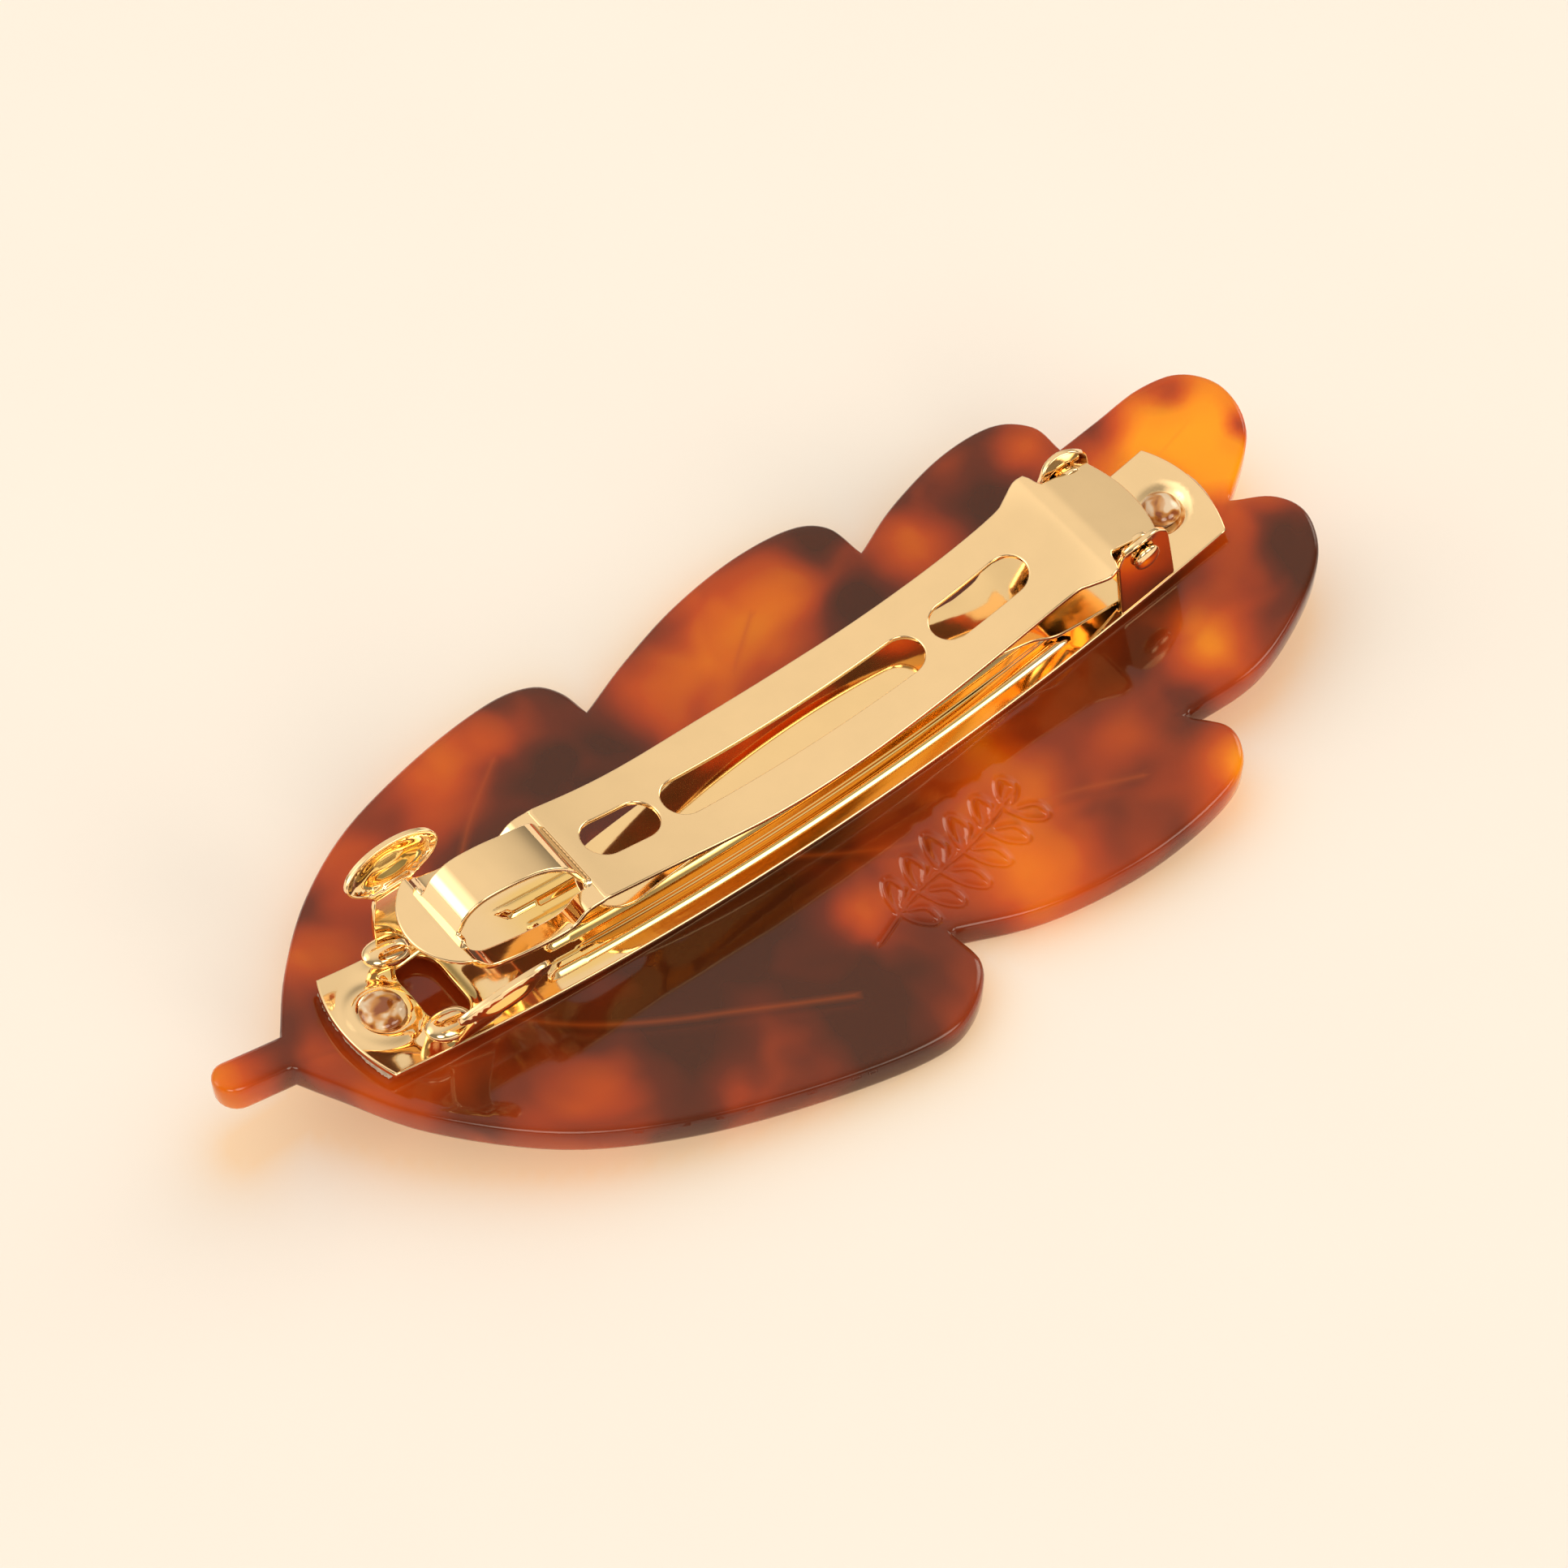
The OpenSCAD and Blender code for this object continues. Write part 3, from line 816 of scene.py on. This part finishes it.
def build_bar():
    right = round_end(BAR_LEN / 2, BAR_END_R, BAR_W / 2, 30)
    edges = split_at_corners(np.vstack([right, -right]), 0.4, math.radians(50))
    holes = [oval(sign * CRATER_X, 0, CRATER_R, CRATER_R, 40) for sign in (-1, 1)]
    window = stadium(-WINDOW_LEN / 2, WINDOW_LEN / 2, WINDOW_W, 0.35)
    holes.append(np.column_stack([WINDOW_X - window[:, 1], window[:, 0]]))
    # The deep mark carries the painted reflection on the ribs and round the window.
    bar = slab("bar_sheet", [edges] + holes, bar_place, BAR_T / 2, METAL_EDGE, 0.42,
               dense=[(-42, -29, 0.26), (-27, -22, 0.3), (35, 42, 0.3)], marks={"deep": bar_painted_reflection})
    whole = joined("clip_base", [bar] + [build_lug(side) for side in (-1, 1)])
    return finish_piece(whole, "gold", "leaf_and_base", "base_bar")


LUG_BEND = 0.7
LUG_FLARE = 0.35
# The lug's feet, and its crown between them: X and height
LUG_FEET = (29.6, 35.0)
LUG_CROWN = [(28.75, 12.6), (28.7, 13.6), (29.4, 15.2), (30.8, 15.75), (32.2, 15.5), (33.4, 14.5),
             (33.8, 13.2)]


def build_lug(side):
    """A lug bent up from the bar's edge, with the hole for the arm's stud."""
    quarter = LUG_BEND * math.pi / 2

    def unrolled(points):
        points = np.asarray(points, float)
        return np.column_stack([points[:, 0], points[:, 1] - bar_mid(points[:, 0]) - LUG_BEND + quarter])

    outline = np.vstack([[(LUG_FEET[0], 0.0)], unrolled(smooth(LUG_CROWN, 6)), [(LUG_FEET[1], 0.0)]])
    outline = resample(outline, 0.4, closed=True)
    hole = unrolled(oval(PIVOT_X, PIVOT_Z, PIVOT_HOLE_R, PIVOT_HOLE_R, 32))
    face = BAR_W / 2 - BAR_T / 2

    def place(plan):
        x, v = plan[:, 0], plan[:, 1]
        angle = np.clip(v / LUG_BEND, 0, math.pi / 2)
        y = face - LUG_BEND + LUG_BEND * np.sin(angle) + np.minimum(v, 0)
        rise = LUG_BEND * (1 - np.cos(angle)) + np.maximum(v - quarter, 0)
        z = bar_mid(x) + rise
        flare = LUG_FLARE * smoothstep(14.4, 15.8, z) * (1 - smoothstep(30.5, 33.0, x))
        return np.column_stack([x, side * (y + flare), z])

    return slab(f"lug_{side}", [outline, hole], place, BAR_T / 2, METAL_EDGE, 0.4)


# ---------------------------------------------------------------- fingers

FINGER_ROOT_Y = 4.8
FINGER_ROOT_Z = 7.6
FINGER_T = 0.5
# The stem curls inward below this height, round this radius
CURL_FROM = 0.9
CURL_R = 1.0
# Oval pad: length, height, and its middle in the stem's frame
PAD_LEN = 8.2
PAD_H = 3.8
PAD_RAKE = 1.5
PAD_UP = 7.2
# Pad outline between these X is left out where the stem joins it
STEM_GAP = (-1.5, 3.4)
DISH_DEPTH = 0.62
RIM_ROLL = 0.24
# Side lines of the stem, from the pad down to the foot: x from the stem's middle, height along the lean
STEM_LEFT = [(-0.7, 5.15), (-1.0, 4.3), (-1.4, 3.1), (-1.7, 1.7), (-1.9, 0.8), (-2.9, 0.1), (-3.1, -1.4)]
STEM_RIGHT = [(2.3, -1.2), (2.2, 0.4), (2.1, 1.7), (2.0, 3.1), (2.15, 4.3), (2.7, 5.15)]


def finger_outline():
    pad = oval(PAD_RAKE, PAD_UP, PAD_LEN / 2, PAD_H / 2, 120)
    kept = pad[~((pad[:, 1] < PAD_UP) & (pad[:, 0] > STEM_GAP[0]) & (pad[:, 0] < STEM_GAP[1]))]
    start = int(np.argmax(np.linalg.norm(kept - np.roll(kept, 1, axis=0), axis=1)))
    kept = np.roll(kept, -start, axis=0)
    left = smooth([kept[-1]] + STEM_LEFT, 6)[1:]
    right = smooth(STEM_RIGHT + [kept[0]], 6)[:-1]
    return resample(np.vstack([kept, left, right]), 0.25, closed=True)


def pad_share(plan):
    """Distance from the pad's middle, 1 at its rim."""
    return np.hypot((plan[:, 0] - PAD_RAKE) / (PAD_LEN / 2), (plan[:, 1] - PAD_UP) / (PAD_H / 2))


def finger_painted_reflection(plan):
    """Painted reflection: deeper gold in the dish and on the stem."""
    in_dish = smoothstep(5.2, 5.8, plan[:, 1]) * (1 - smoothstep(0.66, 0.86, pad_share(plan)))
    return 0.85 * in_dish + 0.5 * (1 - smoothstep(3.4, 4.8, plan[:, 1]))


def build_finger(side, body, node):
    """A stem bent up and outward from the bar's edge, ending in a dished oval pad with a rolled rim."""
    lean_y, lean_z = math.sin(FINGER_LEAN), math.cos(FINGER_LEAN)

    def place(plan):
        v = plan[:, 1]
        curl = np.maximum(CURL_FROM - v, 0) / CURL_R
        up = np.maximum(v, CURL_FROM) - CURL_R * np.sin(curl)
        y = FINGER_ROOT_Y + up * lean_y - CURL_R * (1 - np.cos(curl))
        z = FINGER_ROOT_Z + up * lean_z
        rho = pad_share(plan)
        dish = DISH_DEPTH * (1 - smoothstep(0.25, 0.86, rho)) - RIM_ROLL * smoothstep(0.84, 1.0, rho)
        dish = dish * smoothstep(4.9, 5.7, v)
        return np.column_stack([plan[:, 0] + FINGER_X, side * (y + dish * lean_z), z - dish * lean_y])

    # The deep mark carries the painted reflection in the dish and on the stem.
    sheet = slab(node + "_sheet", [finger_outline()], place, FINGER_T / 2, METAL_EDGE, 0.24,
                 marks={"deep": finger_painted_reflection})
    finger = joined("squeeze_" + ("front" if side < 0 else "back"), [sheet, build_catch(side)])
    return finish_piece(finger, "gold", body, node)


# Rounded catch on the inside of each finger's foot: middle and half-sizes
CATCH_AT = (-34.5, 4.0, 9.15)
CATCH_SIZE = (2.0, 1.35, 0.9)
CATCH_SLOPE = -0.26


def build_catch(side):
    """A smooth swell on the finger's foot, blunter towards its inner end."""
    stations = np.sin(np.linspace(-math.pi / 2, math.pi / 2, 22))
    turn = np.linspace(0, 2 * math.pi, 32, endpoint=False)
    verts = []
    for s in stations:
        girth = max(1 - abs(s) ** 2.6, 0.0004) ** 0.5 * (1 + 0.08 * s)
        x = np.full(len(turn), CATCH_AT[0] + CATCH_SIZE[0] * s)
        y = CATCH_AT[1] + CATCH_SIZE[1] * girth * np.cos(turn)
        z = CATCH_AT[2] + CATCH_SIZE[2] * girth * np.sin(turn) + CATCH_SLOPE * CATCH_SIZE[0] * s
        verts.append(np.column_stack([x, side * y, z]))
    faces = tube_faces(len(stations), len(turn))
    if side < 0:
        faces = [face[::-1] for face in faces]
    return new_object(f"catch_{side}", to_world(np.vstack(verts)), faces)


# ---------------------------------------------------------------- arm

# The arm's side edge, from the strands to the tail's shoulder: X and half width
ARM_SIDE = [(-21.4, 4.9), (-14, 4.85), (-5, 5.25), (3, 5.25), (11, 5), (19, 4.8), (24.2, 4.85), (25.6, 5.25),
            (27.0, 5.85), (27.9, 5.75)]
# X of each slot's two ends
SLOTS = [(-19.05, -12.4), (-11.6, 13.1), (14.4, 23.3)]
# Bridge and rails, from the arm's face to the tongue: X and height
BRIDGE = [(-20.6, 13.68), (-21.2, 14.4), (-22.1, 16.1), (-23.4, 17.1), (-25.3, 17.85), (-27.4, 18.4),
          (-29.4, 18.6), (-30.8, 18.05), (-31.6, 16.9), (-32.1, 15.95)]
RAIL = [(-20.6, 13.68), (-22.2, 13.7), (-23.8, 12.75), (-27, 13.2), (-30.4, 14.3), (-31.3, 15),
        (-32.1, 15.95)]
RAIL_EDGE = [(-22.5, 4.9), (-24.5, 4.85), (-29.5, 4.85), (-31.2, 4.8), (-32.0, 4.55)]
RAIL_INNER = 3.2
STRAND_FROM, STRAND_TO = -20.6, -32.1
SLIT_FROM, SLIT_TO = -21.3, -31.5
TONGUE_X, TONGUE_R = -29.65, 5.1
# The tail: where and over what length it folds down, its slope, half width, tip and end radius
TAIL_FROM = 28.2
TAIL_BEND = 1.6
TAIL_DROP = 0.223
TAIL_HALF = 4.2
TAIL_TIP = 34.0
TAIL_END_R = 10.0
TAIL_CORNER = [(28.5, TAIL_HALF), (28.3, 4.5), (28.15, 5.2)]
ARM_CROWN = 0.10


def arm_mid(x):
    """Height of the arm's middle surface."""
    return ARM_Z - ARM_T / 2 + ARM_R - np.sqrt(ARM_R ** 2 - (np.asarray(x, float) - ARM_X) ** 2)


def bridge_half(x):
    """Half the bridge's width, which grows towards the tongue."""
    return 2.9 - 0.75 * (1 - smoothstep(-25.5, -21.0, x))


def arm_outline():
    tail_end = round_end(TAIL_TIP, TAIL_END_R, TAIL_HALF, 24)[::-1]
    start = math.acos((RAIL_EDGE[-1][0] - TONGUE_X) / TONGUE_R)
    tongue = arc(TONGUE_X, 0, TONGUE_R, start, 2 * math.pi - start, 30)
    upper = np.vstack([tail_end[:1], TAIL_CORNER, smooth(ARM_SIDE, 5)[::-1], RAIL_EDGE])
    lower = upper[::-1] * [1, -1]
    outline = np.vstack([upper, tongue[1:-1], lower, tail_end[::-1][:-1]])
    return split_at_corners(outline, 0.28, math.radians(35))


def arm_holes():
    """The three slots, and the slits between the bridge and the rails."""
    holes = [stadium(a, b, SLOT_W, 0.3) for a, b in SLOTS]
    x = np.linspace(SLIT_FROM, SLIT_TO, 26)
    for sign in (-1, 1):
        inner = np.column_stack([x, sign * bridge_half(x)])
        outer = np.column_stack([x, np.full(len(x), sign * RAIL_INNER)])
        holes.append(resample(np.vstack([inner, outer[::-1]]), 0.24, closed=True))
    return holes


def tail_fall(x):
    """How far the tail lies below the arm's arc, through a smooth fold."""
    start = TAIL_FROM - TAIL_BEND / 2
    over = np.maximum(x - start, 0)
    turned_by = np.minimum(over / TAIL_BEND, 1)
    slope_in = (start - ARM_X) / ARM_R
    folded = TAIL_BEND * (turned_by ** 3 - turned_by ** 4 / 2) + np.maximum(over - TAIL_BEND, 0)
    return folded * (slope_in + TAIL_DROP) - over * slope_in


def arm_place(plan):
    """The arm's arc, its folded tail, and the bridge and rails where it splits into strands."""
    x, y = plan[:, 0], plan[:, 1]
    fraction = (STRAND_FROM - x) / (STRAND_FROM - STRAND_TO)
    on_bridge, on_rail = path_at(smooth(BRIDGE, 24), fraction), path_at(smooth(RAIL, 24), fraction)
    rail_share = smoothstep(2.9, RAIL_INNER, np.abs(y))[:, None]
    strand = on_bridge * (1 - rail_share) + on_rail * rail_share
    is_strand = x < STRAND_FROM
    px = np.where(is_strand, strand[:, 0] + np.minimum(x - STRAND_TO, 0), x)
    main_z = arm_mid(np.clip(x, STRAND_FROM, TAIL_FROM - TAIL_BEND / 2))
    crown = ARM_CROWN * (1 - (y / 5.0) ** 2) * bump(x, -22.0, -19.5, 24.0, 27.5)
    return np.column_stack([px, y, np.where(is_strand, strand[:, 1], main_z) - tail_fall(x) + crown])


def fold_points(x, half):
    """Three close rows of plan points across a fold at x."""
    return [(x + shift, y) for shift in (-0.12, 0, 0.12) for y in np.arange(-half, half + 0.1, 0.25)]


def build_arm():
    outline = arm_outline()
    holes = arm_holes()
    fold = np.array(fold_points(STRAND_FROM, 4.6) + fold_points(STRAND_TO, 4.2))
    clear = np.min([distance_to(fold, loop, True) for loop in [outline] + holes], axis=0) > METAL_EDGE + 0.1
    sheet = slab("arm_sheet", [outline] + holes, arm_place, ARM_T / 2, METAL_EDGE, 0.42, fold[clear],
                 dense=[(-35.5, -20, 0.24), (25, 34.5, 0.3)])
    parts = [sheet]
    for sign in (-1, 1):
        parts.append(build_ear(sign))
        parts.append(build_stud(sign))
    return finish_piece(joined("arm", parts), "gold", "arm", "clamp_arm")


EAR_Y = 4.05
EAR_R = 1.4


def build_ear(side):
    """The ear under the tail that carries the stud."""
    outline = oval(PIVOT_X, PIVOT_Z, EAR_R, EAR_R, 40)

    def place(plan):
        return np.column_stack([plan[:, 0], np.full(len(plan), side * EAR_Y), plan[:, 1]])

    return slab(f"ear_{side}", [outline], place, ARM_T / 2, METAL_EDGE, 0.4)


def build_stud(side):
    """A pivot stud with a domed head, outside the lug."""
    turn = np.linspace(-0.5, 1.5, 12)
    head = [(STUD_HEAD_R * math.cos(a), STUD_HEAD_Y + STUD_HEAD_H * math.sin(a)) for a in turn]
    profile = [(0.02, STUD_ROOT_Y), (STUD_R, STUD_ROOT_Y), (STUD_R, STUD_HEAD_Y - 0.2)] + head
    return lathe(f"stud_{side}", profile, (PIVOT_X, 0, PIVOT_Z), (0, side, 0), 32)


# ---------------------------------------------------------------- spring, rivets, glue

SPRING_PATH = [(-19.5, 7.35), (-13, 8.5), (-5, 9.25), (5, 9.5), (14, 9.25), (21, 8.6), (26, 7.75),
               (29.3, 7.3), (31, 7.1)]
SPRING_HALF = 3.2
SPRING_T = 0.4
SPRING_EDGE = 0.1
# The root's edge between the lugs, where the strip is wider
SPRING_ROOT = [(19, SPRING_HALF), (21.5, 3.6), (23.2, 4.25), (26, 4.25), (31, 4.15)]


def build_spring():
    tip = arc(SPRING_PATH[0][0] + SPRING_HALF, 0, SPRING_HALF, 3 * math.pi / 2, math.pi / 2, 20)
    far = smooth(SPRING_ROOT, 6)
    outline = split_at_corners(np.vstack([tip, far, far[::-1] * [1, -1]]), 0.45, math.radians(40))
    path = smooth(SPRING_PATH, 8)

    def place(plan):
        z = np.interp(plan[:, 0], path[:, 0], path[:, 1])
        crown = -0.25 * (plan[:, 1] / SPRING_HALF) ** 2 * (1 - smoothstep(19, 23, plan[:, 0]))
        return np.column_stack([plan, z + crown])

    spring = slab("spring_strip", [outline], place, SPRING_T / 2, SPRING_EDGE, 0.45)
    return finish_piece(spring, "spring", "spring", "tension_spring")


# Each resin dome: height of its rim above the bar's middle surface, radius, height
DOME_LATCH = (0.62, 1.78, 0.85)
DOME_HINGE = (0.02, 1.62, 1.0)
DOME_LIP = 0.16
RESIN_OFF_LEAF = 0.08


def build_rivet(sign, name, node):
    """Resin that fills the hole and stands up as a dome."""
    rise, dome_r, dome_h = DOME_LATCH if sign < 0 else DOME_HINGE
    rim = float(bar_mid(CRATER_X)) + rise
    foot = LEAF_T + float(bend_height(CRATER_X, LEAF_R)) + RESIN_OFF_LEAF - rim
    r = CRATER_R * 0.98
    profile = [(0.05, foot), (r * 0.98, foot), (r, 0), (dome_r * 0.98, 0.05)]
    for a in np.arange(12) * math.pi / 24:
        profile.append((dome_r * math.cos(a), DOME_LIP + dome_h * math.sin(a)))
    profile.append((0.03, DOME_LIP + dome_h))
    dome = lathe(name, profile, (sign * CRATER_X, 0, rim), (0, 0, 1), 56)
    return finish_piece(dome, "resin", "leaf_and_base", node)


GLUE_HALF = 4.5
# Each glue bed: its inner edge, how far it bulges past the bar's end, roughness of its outline, random seed
GLUE_LATCH = (35.4, -0.2, 0.05, 7)
GLUE_HINGE = (25.0, 0.35, 0.015, 11)


def build_glue(sign, name, node):
    """The uneven bed of glue between the leaf and one end of the bar."""
    near, beyond, rough, seed = GLUE_LATCH if sign < 0 else GLUE_HINGE
    end = round_end(BAR_LEN / 2, BAR_END_R, GLUE_HALF, 24)
    end[:, 0] += beyond * np.cos(end[:, 1] / GLUE_HALF * math.pi / 2)
    outline = np.vstack([[(near, -GLUE_HALF)], end, [(near, GLUE_HALF)]])
    outline = resample(outline, 0.16, closed=True)
    outline = outline + np.random.default_rng(seed).normal(0, rough, outline.shape)

    def faces_at(plan):
        x = np.abs(plan[:, 0])
        under = bar_mid(x) - BAR_T / 2
        if sign > 0:
            under = under - hinge_dimple(x, plan[:, 1])
        return under, LEAF_T + bend_height(x, LEAF_R)

    def half(plan):
        under, over = faces_at(plan)
        return np.maximum((under - over) / 2 - 0.01, 0.05)

    def place(plan):
        return np.column_stack([sign * plan[:, 0], plan[:, 1], sum(faces_at(plan)) / 2])

    hole = oval(CRATER_X, 0, CRATER_R, CRATER_R, 30)
    bed = slab(name, [outline, hole], place, half, 0.2, 0.5)
    return finish_piece(bed, "glue", "leaf_and_base", node)


# ---------------------------------------------------------------- room, light, camera

CAMERA_AZIMUTH = math.radians(-38.24)
CAMERA_ELEVATION = math.radians(56.0)
CAMERA_DISTANCE = 0.3407
CAMERA_LENS = 102.8
CAMERA_TARGET = (-1.56, -1.68, 7.66)


def add_camera():
    data = bpy.data.cameras.new("camera")
    data.lens = CAMERA_LENS
    data.sensor_width = 36
    data.clip_start = 0.01
    camera = bpy.data.objects.new("camera", data)
    bpy.context.scene.collection.objects.link(camera)
    az, el = CAMERA_AZIMUTH, CAMERA_ELEVATION
    back = Vector((math.sin(az) * math.cos(el), -math.cos(az) * math.cos(el), math.sin(el)))
    right = Vector((math.cos(az), math.sin(az), 0))
    up = back.cross(right)
    target = Vector(to_world([CAMERA_TARGET])[0])
    turn = Matrix((right, up, back)).transposed().to_4x4()
    camera.matrix_world = Matrix.Translation(target + back * CAMERA_DISTANCE) @ turn
    bpy.context.scene.camera = camera


# Even cream light all round, with soft bright patches: direction, cosine at the patch's rim, added strength
SKY_COLOUR = (1.0, 0.90, 0.75)
SKY_BASE = 0.27
SKY_LOBES = [
    ((0.15, 0.45, 0.88), 0.30, 0.64),
    ((-0.62, 0.44, 0.65), 0.80, 0.9),
    ((-0.82, 0.42, 0.36), 0.90, 2.6),
    ((0.34, -0.80, 0.48), 0.945, 5.2),
    ((-0.32, -0.80, 0.50), 0.945, 5.2),
    ((0.88, 0.0, 0.42), 0.945, 4.2),
]
# Outer lines of the floor's grid, and the fine part's half-lengths
FLOOR_FAR = np.array([60.0, 200.0, 800.0, 3000.0])
FLOOR_FINE = (58.0, 34.0)
# Distance over which the painted warm light beside the leaf fades
PAINTED_GLOW_REACH = 2.2


def floor_lines(fine):
    return np.concatenate([-FLOOR_FAR[::-1], np.arange(-fine, fine + 0.5, 1.0), FLOOR_FAR])


def build_floor():
    """A sheet 6 m across, with a fine grid round the leaf that says how near the leaf is, for the painted
    warm light.
    """
    xs, ys = floor_lines(FLOOR_FINE[0]), floor_lines(FLOOR_FINE[1])
    grid = np.array([(x, y) for y in ys for x in xs])
    wide = len(xs)
    corners = [row * wide + k for row in range(len(ys) - 1) for k in range(wide - 1)]
    faces = [[k, k + 1, k + wide + 1, k + wide] for k in corners]
    floor = new_object("floor", to_world(np.column_stack([grid, np.zeros(len(grid))])), faces)
    outline = leaf_outline()
    gap = np.where(inside(grid, [outline]), 0, distance_to(grid, outline, True))
    # Painted warm light: strongest at the leaf's outline, fading with distance from it.
    add_mark(floor, "painted_glow", np.exp(-gap / PAINTED_GLOW_REACH))
    floor.data.materials.append(floor_paper())


def sky_lobe(nodes, links, direction, aim, low, strength):
    """A soft patch of light: 0 where the cosine to aim is low, and full at aim."""
    dot = nodes.new("ShaderNodeVectorMath")
    dot.operation = "DOT_PRODUCT"
    dot.inputs[1].default_value = Vector(aim).normalized()
    links.new(direction, dot.inputs[0])
    soft = nodes.new("ShaderNodeMapRange")
    soft.interpolation_type = "SMOOTHSTEP"
    soft.inputs["From Min"].default_value = low
    soft.inputs["To Max"].default_value = strength
    links.new(dot.outputs["Value"], soft.inputs["Value"])
    return soft.outputs["Result"]


def add_sky():
    world = bpy.data.worlds.new("room")
    world.use_nodes = True
    nodes, links = world.node_tree.nodes, world.node_tree.links
    direction = nodes.new("ShaderNodeTexCoord").outputs["Generated"]
    total = nodes.new("ShaderNodeValue").outputs[0]
    total.default_value = SKY_BASE
    for lobe in SKY_LOBES:
        add = nodes.new("ShaderNodeMath")
        add.operation = "ADD"
        links.new(sky_lobe(nodes, links, direction, *lobe), add.inputs[0])
        links.new(total, add.inputs[1])
        total = add.outputs["Value"]
    links.new(total, nodes["Background"].inputs["Strength"])
    nodes["Background"].inputs["Color"].default_value = (*SKY_COLOUR, 1)
    bpy.context.scene.world = world
    bpy.context.scene.view_settings.view_transform = "Standard"


add_camera()
build_floor()
add_sky()
build_leaf()
build_bar()
build_finger(-1, "finger_front", "latch_finger_front")
build_finger(1, "finger_back", "latch_finger_back")
build_arm()
build_spring()
build_rivet(-1, "rivet_latch", "resin_rivet_latch_end")
build_rivet(1, "rivet_hinge", "resin_rivet_hinge_end")
build_glue(-1, "glue_latch", "glue_bed_latch_end")
build_glue(1, "glue_hinge", "glue_bed_hinge_end")
